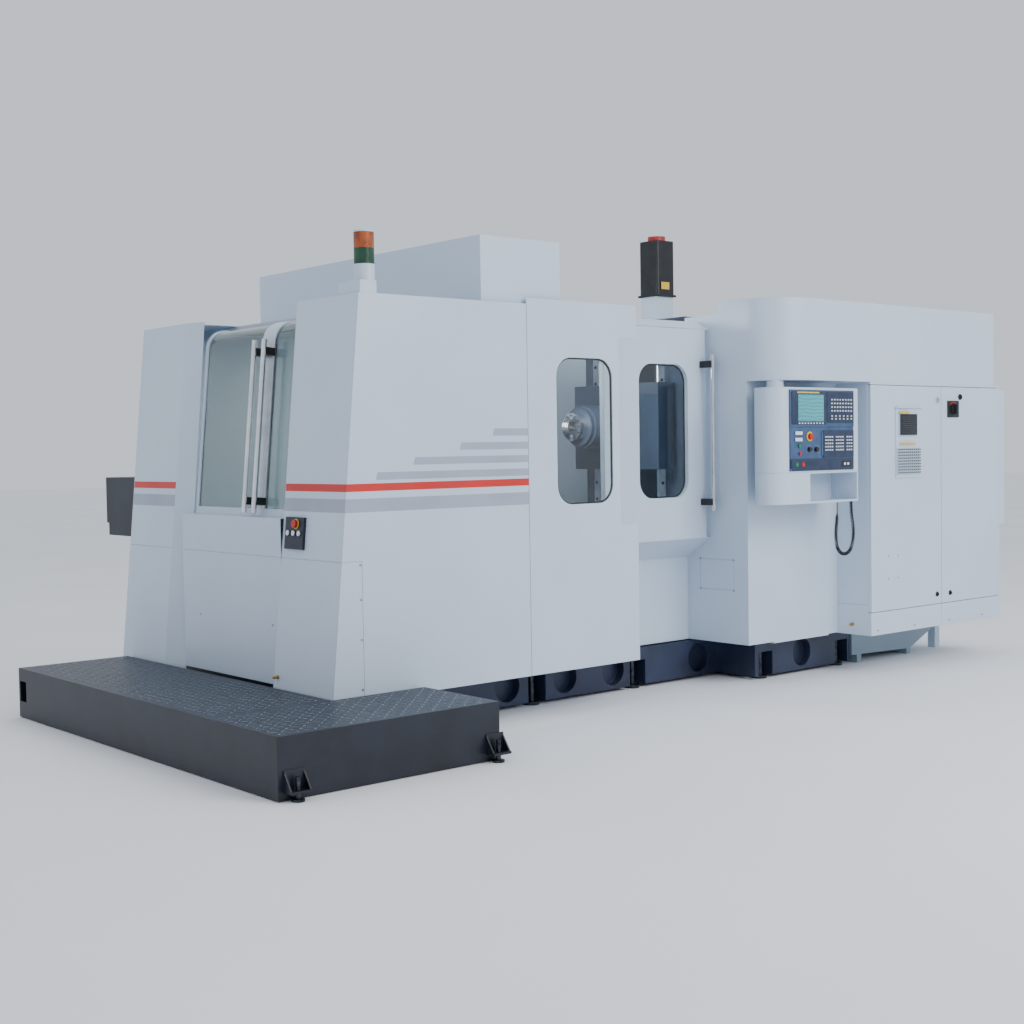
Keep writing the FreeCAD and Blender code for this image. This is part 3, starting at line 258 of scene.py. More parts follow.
def tree_group(name, inputs):
    """An empty Geometry Nodes tree with named number inputs and one geometry output."""
    group = bpy.data.node_groups.new(name, "GeometryNodeTree")
    for label, kind in inputs:
        group.interface.new_socket(label, in_out="INPUT", socket_type=kind)
    group.interface.new_socket("Geometry", in_out="OUTPUT", socket_type="NodeSocketGeometry")
    return group, group.nodes.new("NodeGroupInput"), group.nodes.new("NodeGroupOutput")


def grow(name, group, values, body, made):
    """Run a Geometry Nodes tree with its inputs set and keep the plain mesh."""
    seed = bpy.data.objects.new(name + "_seed", bpy.data.meshes.new(name + "_seed"))
    bpy.context.collection.objects.link(seed)
    modifier = seed.modifiers.new("grow", "NODES")
    modifier.node_group = group
    for item in group.interface.items_tree:
        if item.in_out == "INPUT" and item.name in values:
            modifier[item.identifier] = values[item.name]
    graph = bpy.context.evaluated_depsgraph_get()
    mesh = bpy.data.meshes.new_from_object(seed.evaluated_get(graph))
    seed.modifiers.remove(modifier)
    bpy.data.objects.remove(seed)
    return place_piece(name, mesh, made, body)


def tread_tree():
    """Rows of lozenges over a rectangle, each turned square to the next."""
    group, entry, output = tree_group("tread_pattern", [
        ("Width", "NodeSocketFloat"), ("Depth", "NodeSocketFloat"), ("Columns", "NodeSocketInt"),
        ("Rows", "NodeSocketInt"), ("Length", "NodeSocketFloat"), ("Breadth", "NodeSocketFloat"),
        ("Height", "NodeSocketFloat"), ("Centre", "NodeSocketVector"),
        ("Finish", "NodeSocketMaterial")])
    grid = add(group, "GeometryNodeMeshGrid", links={
        "Size X": entry.outputs["Width"], "Size Y": entry.outputs["Depth"],
        "Vertices X": entry.outputs["Columns"], "Vertices Y": entry.outputs["Rows"]})
    ball = add(group, "GeometryNodeMeshUVSphere", values={"Segments": 8, "Rings": 4, "Radius": 0.5})
    size = add(group, "ShaderNodeCombineXYZ", links={
        "X": entry.outputs["Length"], "Y": entry.outputs["Breadth"], "Z": entry.outputs["Height"]})
    lozenge = add(group, "GeometryNodeTransform", links={
        "Geometry": ball.outputs["Mesh"], "Scale": size.outputs["Vector"]})
    index = add(group, "GeometryNodeInputIndex")
    column = add(group, "ShaderNodeMath", {"operation": "MODULO"},
                 links={0: index.outputs["Index"], 1: entry.outputs["Rows"]})
    row = add(group, "ShaderNodeMath", {"operation": "DIVIDE"},
              links={0: index.outputs["Index"], 1: entry.outputs["Rows"]})
    whole = add(group, "ShaderNodeMath", {"operation": "FLOOR"}, links={0: row.outputs[0]})
    parity = add(group, "ShaderNodeMath", links={0: column.outputs[0], 1: whole.outputs[0]})
    odd = add(group, "ShaderNodeMath", {"operation": "MODULO"}, {1: 2.0},
              {0: parity.outputs[0]})
    angle = add(group, "ShaderNodeMath", {"operation": "MULTIPLY_ADD"},
                {1: math.pi / 2, 2: math.pi / 4}, {0: odd.outputs[0]})
    spin = add(group, "ShaderNodeCombineXYZ", links={"Z": angle.outputs[0]})
    spread = add(group, "GeometryNodeInstanceOnPoints", links={
        "Points": grid.outputs["Mesh"], "Instance": lozenge.outputs["Geometry"],
        "Rotation": spin.outputs["Vector"]})
    real = add(group, "GeometryNodeRealizeInstances", links={"Geometry": spread.outputs[0]})
    moved = add(group, "GeometryNodeTransform", links={
        "Geometry": real.outputs[0], "Translation": entry.outputs["Centre"]})
    finish = add(group, "GeometryNodeSetMaterial", links={
        "Geometry": moved.outputs[0], "Material": entry.outputs["Finish"]})
    group.links.new(finish.outputs[0], output.inputs["Geometry"])
    return group


tread_pattern = tread_tree()
# tops of the lozenges: the same enamel, smoother, with its colour lightened as a painted highlight
# on the raised tops
tread_highlight_enamel, tree, shader = material("tread_highlight_enamel", "#46566a", 0.24)
place = mottle(tree, shader, ("#36455a", "#5a6c82"), 14.0)
grain(tree, shader, place, 300.0, 0.0002)
inner_edge = -1.110
step_edge = -1.224
front_edge_y = -1.845
front_deck_end = -0.525
deck_margin_x = 0.03
deck_margin_y = 0.02
deck_parts = (("deck_tread_front", platform_low.x, front_deck_end, front_edge_y, step_edge),
              ("deck_tread_end", platform_low.x, inner_edge, step_edge, platform_high.y))
for name, x0, x1, y0, y1 in deck_parts:
    columns = int((x1 - x0 - deck_margin_x) / lozenge_pitch)
    rows = int((y1 - y0 - deck_margin_y) / lozenge_pitch)
    grow(name, tread_pattern, {
        "Width": columns * lozenge_pitch - lozenge_pitch,
        "Depth": rows * lozenge_pitch - lozenge_pitch, "Columns": columns, "Rows": rows,
        "Length": lozenge_length, "Breadth": lozenge_width, "Height": 2 * lozenge_height,
        "Centre": ((x0 + x1) / 2, (y0 + y1) / 2, deck_z), "Finish": tread_highlight_enamel},
        "root", tread_highlight_enamel)

# ---------------------------------------------------------------- levelling feet
# Turned steel jack bolts on round pads, one in each bracket and bed pocket, blackened
# and oiled.

foot_steel, tree, shader = material("blackened_bolt_steel", "#3a3d44", 0.38, 1.0)
place = mottle(tree, shader, ("#2c2e35", "#50545c"), 40.0)
grain(tree, shader, place, 500.0, 0.0002)
paint(["levelling_feet"], foot_steel)

# ---------------------------------------------------------------- bed and way rails
# The bed is one iron casting under thick dark blue-grey machine enamel: filled and
# rubbed down, so it is smooth with a faint ripple. Rails are hardened and ground.

bed_enamel, tree, shader = material("bed_casting_enamel", "#232b40", 0.4)
place = mottle(tree, shader, ("#1d2438", "#2b3550"), 3.0)
grain(tree, shader, place, 90.0, 0.0006, edge=0.006)
paint(["bed_casting", "magazine_frame"], bed_enamel)


def machined_steel(name, colours, roughness, stretch):
    """Ground steel: metallic, with fine grinding lines along one direction."""
    made, steel_tree, steel_shader = material(name, colours[0], roughness, 1.0)
    steel_place = mottle(steel_tree, steel_shader, colours, 12.0)
    grain(steel_tree, steel_shader, steel_place, 60.0, 0.00025, stretch, edge=0.0015)
    return made


ground_x = machined_steel("ground_rail_steel", ("#b9bdc4", "#d3d6da"), 0.25, (0.6, 14, 14))
ground_z = machined_steel("ground_upright_steel", ("#b4b8bf", "#ced2d7"), 0.28, (14, 14, 0.6))
paint(["way_rails"], ground_x)
paint(["head_rails"], ground_z)

# ---------------------------------------------------------------- table, column and head
# Iron castings in the same machine grey, carrying a steel pallet and a steel spindle
# nose. The head slides on ground rails that are bolted up the column.

casting_enamel, tree, shader = material("casting_enamel", "#3a4658", 0.45)
place = mottle(tree, shader, ("#323d4e", "#445168"), 4.0)
grain(tree, shader, place, 110.0, 0.0006, edge=0.005)
paint(["column_casting", "head_casting", "table_saddle", "rotary_table"], casting_enamel)
ground_flat = machined_steel("ground_pallet_steel", ("#aeb2b8", "#c6cad0"), 0.3, (1, 16, 1))
turned_steel = machined_steel("turned_spindle_steel", ("#d6d8dc", "#eceef0"), 0.16, (2, 2, 2))
paint(["pallet"], ground_flat)
paint(["spindle_nose", "changer_arm", "head_screw"], turned_steel)
magazine_enamel, tree, shader = material("magazine_enamel", "#8e98a4", 0.4)
place = mottle(tree, shader, ("#848e9a", "#9aa4b0"), 8.0)
grain(tree, shader, place, 160.0, 0.0004, edge=0.002)
paint(["tool_magazine"], magazine_enamel)

# black-oxide screws: dark brown-black steel with a soft oily shine
oxide_steel, tree, shader = material("black_oxide_screw_steel", "#2a2b2e", 0.36, 1.0)
place = mottle(tree, shader, ("#232427", "#3a3b3f"), 90.0)
grain(tree, shader, place, 700.0, 0.0001)
# zinc-plated screws: bright grey with a faint spangle
zinc_steel, tree, shader = material("zinc_plated_screw_steel", "#9aa0a8", 0.34, 1.0)
place = mottle(tree, shader, ("#8b9199", "#aab0b7"), 120.0)
grain(tree, shader, place, 700.0, 0.0001)


def screw_tree():
    """A straight row of socket-head screws; Turn faces them the way they are driven."""
    group, entry, output = tree_group("screw_row", [
        ("Start", "NodeSocketVector"), ("Step", "NodeSocketVector"), ("Count", "NodeSocketInt"),
        ("Radius", "NodeSocketFloat"), ("Height", "NodeSocketFloat"),
        ("Turn", "NodeSocketVector"), ("Finish", "NodeSocketMaterial")])
    line = add(group, "GeometryNodeMeshLine", {"mode": "OFFSET"}, links={
        "Count": entry.outputs["Count"], "Start Location": entry.outputs["Start"],
        "Offset": entry.outputs["Step"]})
    head = add(group, "GeometryNodeMeshCylinder", values={"Vertices": 16}, links={
        "Radius": entry.outputs["Radius"], "Depth": entry.outputs["Height"]})
    inner = add(group, "ShaderNodeMath", {"operation": "MULTIPLY"}, {1: 0.5},
                {0: entry.outputs["Radius"]})
    lift = add(group, "ShaderNodeMath", {"operation": "MULTIPLY"}, {1: 0.5},
               {0: entry.outputs["Height"]})
    socket = add(group, "GeometryNodeMeshCylinder", values={"Vertices": 6}, links={
        "Radius": inner.outputs[0], "Depth": lift.outputs[0]})
    raise_by = add(group, "ShaderNodeCombineXYZ", links={"Z": lift.outputs[0]})
    raised = add(group, "GeometryNodeTransform", links={
        "Geometry": socket.outputs["Mesh"], "Translation": raise_by.outputs["Vector"]})
    both = add(group, "GeometryNodeJoinGeometry")
    group.links.new(head.outputs["Mesh"], both.inputs[0])
    group.links.new(raised.outputs[0], both.inputs[0])
    spread = add(group, "GeometryNodeInstanceOnPoints", links={
        "Points": line.outputs["Mesh"], "Instance": both.outputs[0],
        "Rotation": entry.outputs["Turn"]})
    real = add(group, "GeometryNodeRealizeInstances", links={"Geometry": spread.outputs[0]})
    finish = add(group, "GeometryNodeSetMaterial", links={
        "Geometry": real.outputs[0], "Material": entry.outputs["Finish"]})
    group.links.new(finish.outputs[0], output.inputs["Geometry"])
    return group


screw_row = screw_tree()
FACING_X = (0.0, -math.pi / 2, 0.0)
FACING_Y = (math.pi / 2, 0.0, 0.0)


def screws(name, start, step, count, radius, height, turn, made, body):
    """A row of equal screws on one body."""
    return grow(name, screw_row, {"Start": start, "Step": step, "Count": count,
                                  "Radius": radius, "Height": height, "Turn": turn,
                                  "Finish": made}, body, made)


rail_low, rail_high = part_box("head_rails")
rail_pitch = 0.12
rail_count = int((rail_high.z - rail_low.z - 0.1) / rail_pitch)
for side, rail_y in (("near", rail_low.y + 0.024), ("far", rail_high.y - 0.024)):
    screws("head_rail_screws_" + side, (rail_low.x - 0.001, rail_y, rail_low.z + 0.06),
           (0, 0, rail_pitch), rail_count, 0.011, 0.004, FACING_X, oxide_steel,
           "column")

nose_low, nose_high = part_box("spindle_nose")
nose_centre = Vector((nose_low.x, 0.0, (nose_low.z + nose_high.z) / 2))
bolt_circle = 0.079
ring_bolts = Shape()
ring_bolt_count = 12
bolt_seat_lift = 0.0005
for step in range(ring_bolt_count):
    angle = 2 * math.pi * step / ring_bolt_count
    seat = nose_centre + Vector((0, math.cos(angle), math.sin(angle))) * bolt_circle
    seat.x = nose_low.x + bolt_seat_lift
    ring_bolts.lathe(seat, (-1, 0, 0), ((0, 0.0062), (0.003, 0.0062), (0.0036, 0.0056)), 16)
place_piece("spindle_ring_bolts", ring_bolts.finish("spindle_ring_bolts"), oxide_steel,
            "spindle")


def block_tree():
    """A flat grid of equal blocks standing in the XZ plane."""
    group, entry, output = tree_group("block_grid", [
        ("Columns", "NodeSocketInt"), ("Rows", "NodeSocketInt"), ("Width", "NodeSocketFloat"),
        ("Rise", "NodeSocketFloat"), ("Size", "NodeSocketVector"),
        ("Centre", "NodeSocketVector"), ("Turn", "NodeSocketVector"),
        ("Finish", "NodeSocketMaterial")])
    grid = add(group, "GeometryNodeMeshGrid", links={
        "Size X": entry.outputs["Width"], "Size Y": entry.outputs["Rise"],
        "Vertices X": entry.outputs["Columns"], "Vertices Y": entry.outputs["Rows"]})
    stood = add(group, "GeometryNodeTransform", links={
        "Geometry": grid.outputs["Mesh"], "Rotation": entry.outputs["Turn"]})
    moved = add(group, "GeometryNodeTransform", links={
        "Geometry": stood.outputs[0], "Translation": entry.outputs["Centre"]})
    cube = add(group, "GeometryNodeMeshCube", links={"Size": entry.outputs["Size"]})
    spread = add(group, "GeometryNodeInstanceOnPoints", links={
        "Points": moved.outputs[0], "Instance": cube.outputs["Mesh"]})
    real = add(group, "GeometryNodeRealizeInstances", links={"Geometry": spread.outputs[0]})
    finish = add(group, "GeometryNodeSetMaterial", links={
        "Geometry": real.outputs[0], "Material": entry.outputs["Finish"]})
    group.links.new(finish.outputs[0], output.inputs["Geometry"])
    return group


block_grid = block_tree()


def blocks(name, columns, rows, width, rise, size, centre, made, body,
           turn=(math.pi / 2, 0.0, 0.0)):
    """A grid of equal blocks, such as keys or slats, on one body."""
    return grow(name, block_grid, {"Columns": columns, "Rows": rows, "Width": width,
                                   "Rise": rise, "Size": size, "Centre": centre,
                                   "Turn": turn, "Finish": made}, body, made)


# ---------------------------------------------------------------- enclosure panels
# Folded steel sheet, sprayed pale blue-grey and baked. The enamel is half gloss with a
# fine orange peel, and the folds are soft-edged.


def sheet_enamel(name, colours, roughness=0.36):
    """Sprayed enamel on folded sheet: faint cloudiness, orange peel and soft edges."""
    made, enamel_tree, enamel_shader = material(name, colours[0], roughness,
                                                Coat_Weight=0.2, Coat_Roughness=0.2)
    enamel_place = mottle(enamel_tree, enamel_shader, colours, 1.6, (0.3, 0.7))
    grain(enamel_tree, enamel_shader, enamel_place, 240.0, 0.0003, edge=0.003)
    return made


panel_enamel = sheet_enamel("panel_enamel", ("#c3d2e3", "#cad8e7"))
paint(["end_pillars", "end_centre_panel", "side_panel_front", "side_panel_window",
       "low_panel", "rear_panel", "roof_panels", "roof_housing", "column_cover", "canopy",
       "signal_tower", "cabinet_case", "cabinet_door_left", "cabinet_door_right",
       "operator_door", "load_door_near", "load_door_far", "pendant_housing"], panel_enamel)
tank_enamel = sheet_enamel("tank_enamel", ("#7f93a3", "#899dac"))
paint(["coolant_tank"], tank_enamel)
conveyor_enamel, tree, shader = material("conveyor_enamel", "#1c2029", 0.45)
place = mottle(tree, shader, ("#171a22", "#232833"), 5.0)
grain(tree, shader, place, 200.0, 0.0004, edge=0.003)
paint(["chip_conveyor"], conveyor_enamel)


def paint_where(name, made, chosen):
    """Give the triangles of one CAD node that chosen(middle) picks their own finish."""
    mesh = nodes[name].data
    if made.name not in [m.name for m in mesh.materials]:
        mesh.materials.append(made)
    index = [m.name for m in mesh.materials].index(made.name)
    for face in mesh.polygons:
        if chosen(face.center):
            face.material_index = index


# Stripes: cut vinyl film, dull red and cool grey, laid over the enamel and round the
# front corner. Film is 0.3 mm thick and slightly glossier than the paint.

film = 0.0004
red_film, tree, shader = material("red_vinyl_film", "#cf2a25", 0.35)
place = mottle(tree, shader, ("#cb2822", "#d42f29"), 3.0)
grain(tree, shader, place, 260.0, 0.0002)
grey_film, tree, shader = material("grey_vinyl_film", "#a1a9ba", 0.38)
place = mottle(tree, shader, ("#9da5b6", "#a6aebf"), 3.0)
grain(tree, shader, place, 260.0, 0.0002)
side_low, side_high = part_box("side_panel_front")
front_y = side_low.y
pillar_low, pillar_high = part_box("end_pillars")
lean = 207.6 / 2105.2


def end_x(height):
    """Where the leaning loading end stands at a height."""
    return pillar_low.x + (height - pillar_low.z) * lean


def stripe(name, made, low_z, high_z):
    """One stripe along the front panel and round both end pillars."""
    form = Shape()
    front = front_y - film
    form.extrude([(end_x(low_z) - film, front, low_z), (side_high.x - 0.001, front, low_z),
                  (side_high.x - 0.001, front, high_z), (end_x(high_z) - film, front, high_z)],
                 (0, film, 0))
    for near, far in ((front_y, -0.622), (0.642, pillar_high.y - 0.001)):
        form.extrude([(end_x(low_z) - film, near, low_z), (end_x(low_z) - film, far, low_z),
                      (end_x(high_z) - film, far, high_z), (end_x(high_z) - film, near, high_z)],
                     (film, 0, 0))
    place_piece(name, form.finish(name, smooth=False), made, "root")


stripe("red_stripe", red_film, 1.347, 1.387)
stripe("grey_stripe", grey_film, 1.240, 1.310)
bar_height = 0.040
bar_pitch = 0.075
bar_lowest = 1.404
bar_slant = 0.012
for rank, bar_left in enumerate((-0.798, -0.554, -0.242, -0.008)):
    name = f"stepped_bar_{rank + 1}"
    low_z = bar_lowest + rank * bar_pitch
    form = Shape()
    form.extrude([(bar_left, front_y - film, low_z), (side_high.x - 0.001, front_y - film, low_z),
                  (side_high.x - 0.001, front_y - film, low_z + bar_height),
                  (bar_left + bar_slant, front_y - film, low_z + bar_height)], (0, film, 0))
    place_piece(name, form.finish(name, smooth=False), grey_film, "root")

# A thin grey strip along the joint of the front side panels: the joint is real, and the strip's
# grey is painted shade standing in for the shadow in the gap
seam_width = 0.0022
seam = Shape().block((side_high.x - seam_width / 2, front_y - 0.0008, side_low.z),
                     (side_high.x + seam_width / 2, front_y + 0.0004, side_high.z))
seam_shade_paint, tree, shader = material("seam_painted_shade", "#5d6875", 0.6)
place = mottle(tree, shader, ("#56616e", "#66717e"), 60.0)
grain(tree, shader, place, 500.0, 0.0001)
place_piece("side_seam", seam.finish("side_seam"), seam_shade_paint, "root")

# Cover screws: small zinc-plated button heads that hold the removable covers.
corner_x = -0.905
for height in (0.969, 0.789, 0.582, 0.324):
    screws(f"corner_cover_screw_{int(height * 1000)}", (corner_x, front_y - 0.001, height),
           (0, 0, 0), 1, 0.0065, 0.003, FACING_Y, zinc_steel, "root")
screws("centre_cover_screws", (-1.0225, -0.518, 0.613), (0, 0.811, 0), 2, 0.0065, 0.003,
       FACING_X, zinc_steel, "root")
cover_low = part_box("column_cover")[0]
for height in (0.616, 0.815):
    screws(f"access_cover_screws_{int(height * 1000)}", (cover_low.x - 0.001, -1.190, height),
           (0, 0.286, 0), 2, 0.0065, 0.003, FACING_X, zinc_steel, "root")

# Grease nipples: turned brass with a knurled collar, screwed through the sheet.
brass, tree, shader = material("turned_brass", "#b79a55", 0.3, 1.0)
place = mottle(tree, shader, ("#a98c49", "#c9ad68"), 60.0)
grain(tree, shader, place, 600.0, 0.0001)
nipple_outline = ((0, 0.011), (0.006, 0.011), (0.0065, 0.008), (0.016, 0.008), (0.017, 0.0095),
                  (0.024, 0.0095), (0.026, 0.005), (0.034, 0.005), (0.035, 0.0035))
for name, seat in (("pillar_nipple", (end_x(0.351), -0.661, 0.351)),
                   ("cabinet_nipple", (2.926, -1.435, 0.337))):
    nipple = Shape().lathe(seat, (-1, 0, 0), nipple_outline, 24)
    place_piece(name, nipple.finish(name), brass, "root")

# ---------------------------------------------------------------- windows
# Laminated safety glass, clear with a faint green cast, in black rubber channels.


def glazing(name, colour, roughness=0.02):
    """Clear laminated glass."""
    made, glass_tree, glass_shader = material(name, colour, roughness, 0.0,
                                              Transmission_Weight=1.0, IOR=1.45)
    glass_place = add(glass_tree, "ShaderNodeTexCoord")
    grain(glass_tree, glass_shader, glass_place, 3.0, 0.0002)
    return made


side_glass = glazing("laminated_side_glass", "#e4ebea")
end_glass = glazing("laminated_end_glass", "#bccac2")
paint(["side_window_pane", "operator_door_pane"], side_glass)
paint(["load_door_near_pane", "load_door_far_pane"], end_glass)

rubber, tree, shader = material("extruded_rubber", "#15161a", 0.62)
place = mottle(tree, shader, ("#121317", "#1b1c21"), 60.0)
grain(tree, shader, place, 500.0, 0.0002)


def rounded(width, height, radius, steps=10):
    """The corners of a rounded rectangle, centred, counter-clockwise."""
    found = []
    for turn, sign_x, sign_y in ((0, 1, 1), (1, -1, 1), (2, -1, -1), (3, 1, -1)):
        for step in range(steps + 1):
            angle = math.pi / 2 * (turn + step / steps)
            found.append((sign_x * (width / 2 - radius) + radius * math.cos(angle),
                          sign_y * (height / 2 - radius) + radius * math.sin(angle)))
    return found


def channel(name, centre, width, height, radius, lip, depth, body):
    """A rubber channel round a window: a frame lip wide and depth deep along Y."""
    outer = rounded(width + 0.004, height + 0.004, radius + 0.002)
    inner = rounded(width - 2 * lip, height - 2 * lip, radius - lip)
    form = bmesh.new()
    rings = [[form.verts.new((centre[0] + a, y, centre[2] + b)) for a, b in outline]
             for outline, y in ((outer, centre[1]), (outer, centre[1] + depth),
                                (inner, centre[1] + depth), (inner, centre[1]))]
    count = len(outer)
    for index in range(4):
        this, after = rings[index], rings[(index + 1) % 4]
        for i in range(count):
            form.faces.new((this[i], this[(i + 1) % count], after[(i + 1) % count], after[i]))
    bmesh.ops.recalc_face_normals(form, faces=form.faces[:])
    mesh = bpy.data.meshes.new(name)
    form.to_mesh(mesh)
    form.free()
    place_piece(name, mesh, rubber, body)


window_radius = 0.113
channel("side_window_channel", (0.6955, -1.1935, 1.652), 0.445, 0.849, window_radius,
        0.009, 0.006, "root")
channel("door_window_channel", (1.5755, -0.9615, 1.652), 0.445, 0.849, window_radius,
        0.009, 0.006, "operator_door")

# ---------------------------------------------------------------- sliding doors
# Folded sheet doors. Pull bars are chromed tube in black moulded blocks, and the
# doors' meeting stiles are brushed aluminium.

chrome, tree, shader = material("chromed_tube", "#d9dbdf", 0.1, 1.0)
place = mottle(tree, shader, ("#d2d5d9", "#e2e4e7"), 8.0)
grain(tree, shader, place, 120.0, 0.00005)
block_plastic, tree, shader = material("moulded_nylon", "#17181c", 0.5)
place = mottle(tree, shader, ("#141519", "#1e1f24"), 50.0)
grain(tree, shader, place, 420.0, 0.0003, edge=0.0015)
stile_metal = machined_steel("brushed_stile_aluminium", ("#c2c7cd", "#d6dade"), 0.3, (16, 16, 0.6))

handle_axis = (1.940, -1.084)
paint(["operator_door_handle"], block_plastic)
paint_where("operator_door_handle", chrome,
            lambda p: math.hypot(p.x - handle_axis[0], p.y - handle_axis[1]) < 0.0162)
for door, bar_y in (("load_door_near", -0.294), ("load_door_far", -0.188)):
    paint_where(door, stile_metal, lambda p: -0.312 < p.y < -0.214 and p.x < end_x(p.z) + 0.12
                and p.z < 2.2)
    paint_where(door, block_plastic, lambda p, at=bar_y: abs(p.y - at) < 0.024
                and p.x < end_x(p.z) + 0.066
                and (1.258 < p.z < 1.318 or 2.096 < p.z < 2.156))
    paint_where(door, chrome, lambda p, at=bar_y:
                math.hypot(p.x - end_x(p.z) - 0.003, p.y - at) < 0.0185)

# ---------------------------------------------------------------- signal tower, motor
# Ribbed acrylic lenses stacked on a white base: green below amber. The servo motor is
# cast aluminium in black enamel with a red brake cap and a yellow data plate.


def lens_acrylic(name, dark, bright):
    """Tinted acrylic with moulded vertical ribs that break up the light."""
    made, lens_tree, lens_shader = material(name, dark, 0.18, 0.0, Transmission_Weight=0.35)
    lens_place = mottle(lens_tree, lens_shader, (dark, bright), 18.0)
    turn = add(lens_tree, "ShaderNodeTexWave",
               {"wave_type": "BANDS", "bands_direction": "DIAGONAL"},
               {"Scale": 60.0}, {"Vector": lens_place.outputs["Object"]})
    ribs = add(lens_tree, "ShaderNodeBump", values={"Distance": 0.0015},
               links={"Height": turn.outputs["Fac"]})
    lens_tree.links.new(ribs.outputs["Normal"], lens_shader.inputs["Normal"])
    return made


green_acrylic = lens_acrylic("green_acrylic", "#0b3a26", "#175c3c")
amber_acrylic = lens_acrylic("amber_acrylic", "#a0401a", "#d26a2a")
paint(["tower_lenses"], amber_acrylic)
paint_where("tower_lenses", green_acrylic, lambda p: p.z < 2.602)

motor_enamel, tree, shader = material("motor_enamel", "#121317", 0.4)
place = mottle(tree, shader, ("#101115", "#1b1d22"), 20.0)
grain(tree, shader, place, 160.0, 0.0005, edge=0.002)
cap_plastic, tree, shader = material("red_cap_plastic", "#a3221f", 0.42)
place = mottle(tree, shader, ("#98201d", "#b02a25"), 30.0)
grain(tree, shader, place, 400.0, 0.0002)
label_yellow, tree, shader = material("yellow_label_film", "#e3b92c", 0.45)
place = mottle(tree, shader, ("#ddb427", "#e9c238"), 30.0)
grain(tree, shader, place, 400.0, 0.0001)
paint(["head_motor"], motor_enamel)
motor_low, motor_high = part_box("head_motor")
paint_where("head_motor", panel_enamel, lambda p: p.z < 2.585)
paint_where("head_motor", cap_plastic, lambda p: p.z > motor_high.z - 0.04)
label = Shape().block((motor_low.x + 0.04, motor_low.y - 0.0006, 2.66),
                      (motor_low.x + 0.12, motor_low.y + 0.0004, 2.71))
place_piece("motor_label", label.finish("motor_label"), label_yellow, "column")

# ---------------------------------------------------------------- electrical cabinet
# Two folded doors on a sheet case, with quarter-turn locks. The fan unit has a black
# slatted grille, and the main switch sits on a black plate.

case_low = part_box("cabinet_case")[0]
fan_low, fan_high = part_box("fan_unit")
cabinet_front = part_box("cabinet_door_left")[0].y
paint(["lock_left"], chrome)
# The left upper lock is chromed. The other three are blackened steel with a dull face.
dark_steel, tree, shader = material("blackened_lock_steel", "#2c2f34", 0.42, 0.9)
mottle(tree, shader, ("#282b30", "#32353b"), 40.0)
paint(["lock_right"], dark_steel)
paint(["fan_unit"], panel_enamel)
black_plate, tree, shader = material("black_abs", "#17191d", 0.45)
place = mottle(tree, shader, ("#141619", "#1f2126"), 40.0)
grain(tree, shader, place, 350.0, 0.0003, edge=0.001)
paint(["main_switch"], black_plate)

fan_middle_x = (fan_low.x + fan_high.x) / 2
grille_size = (0.268, 0.175)
grille_z = 1.430
slat_count = 9
fan_square = Shape()
fan_square.block((fan_low.x + 0.034, fan_low.y - 0.0012, 1.606),
                 (fan_high.x - 0.074, fan_low.y + 0.0005, 1.749), 0.0005)
place_piece("fan_window", fan_square.finish("fan_window"), black_plate, "cabinet_left")
blocks("fan_slats", 12, slat_count, grille_size[0] - 0.02, grille_size[1] - 0.018,
       (0.013, 0.0016, 0.008), (fan_middle_x - 0.01, fan_low.y - 0.0004, grille_z),
       black_plate, "cabinet_left")
blade_pitch = 0.0145
blocks("fan_blades", 1, 8, 0.0, blade_pitch * 7, (0.15, 0.0012, 0.003),
       (fan_middle_x - 0.02, fan_low.y - 0.0018, 1.6775), casting_enamel, "cabinet_left")
strip = Shape().block((fan_low.x + 0.034, fan_low.y - 0.0012, 1.752),
                      (fan_low.x + 0.150, fan_low.y + 0.0005, 1.766))
strip.block((fan_low.x + 0.045, fan_low.y - 0.0012, 1.543),
            (fan_high.x - 0.09, fan_low.y + 0.0005, 1.556))
place_piece("fan_yellow_strips", strip.finish("fan_yellow_strips"), label_yellow,
            "cabinet_left")

switch_x, switch_z = 3.890, 1.786
switch_face = cabinet_front - 0.008
switch_plate_half = (0.070, 0.060)
paint_where("cabinet_door_right", black_plate, lambda p: p.y < cabinet_front - 0.0005
            and abs(p.x - switch_x) < switch_plate_half[0]
            and abs(p.z - switch_z) < switch_plate_half[1])
arc = Shape()
arc_radius = 0.047
arc_start = 40
arc_sweep = 100
arc_count = 13
for step in range(arc_count):
    angle = math.radians(arc_start + arc_sweep * step / (arc_count - 1))
    centre = Vector((switch_x + arc_radius * math.cos(angle), switch_face,
                     switch_z + arc_radius * math.sin(angle)))
    arc.lathe(centre, (0, -1, 0), ((0, 0.0032), (0.0006, 0.0032), (0.0008, 0.0026)), 10)
place_piece("switch_arc", arc.finish("switch_arc"), red_film, "cabinet_right")

lock_outline = ((0, 0.017), (0.004, 0.017), (0.006, 0.015), (0.0075, 0.009), (0.012, 0.009))
for name, body, spot in (("lower_lock_left", "cabinet_left", (3.691, 0.492)),
                         ("lower_lock_right", "cabinet_right", (3.852, 0.490))):
    form = Shape().lathe((spot[0], cabinet_front, spot[1]), (0, -1, 0), lock_outline, 28)
    place_piece(name, form.finish(name), dark_steel, body)

for row, height in enumerate((0.640, 0.790)):
    screws(f"cabinet_screws_{row + 1}", (3.12, cabinet_front - 0.001, height), (0.11, 0, 0), 2,
           0.005, 0.0025, FACING_Y, zinc_steel, "cabinet_left")
screws("skirt_screws", (3.0, case_low.y - 0.001, 0.30), (0.42, 0, 0), 4, 0.006, 0.003,
       FACING_Y, zinc_steel, "root")

# ---------------------------------------------------------------- control pendant
# A folded sheet housing with a moulded blue-grey face: display, membrane keys, lamps,
# knobs and push buttons. Key rows are plain domes with no lettering.

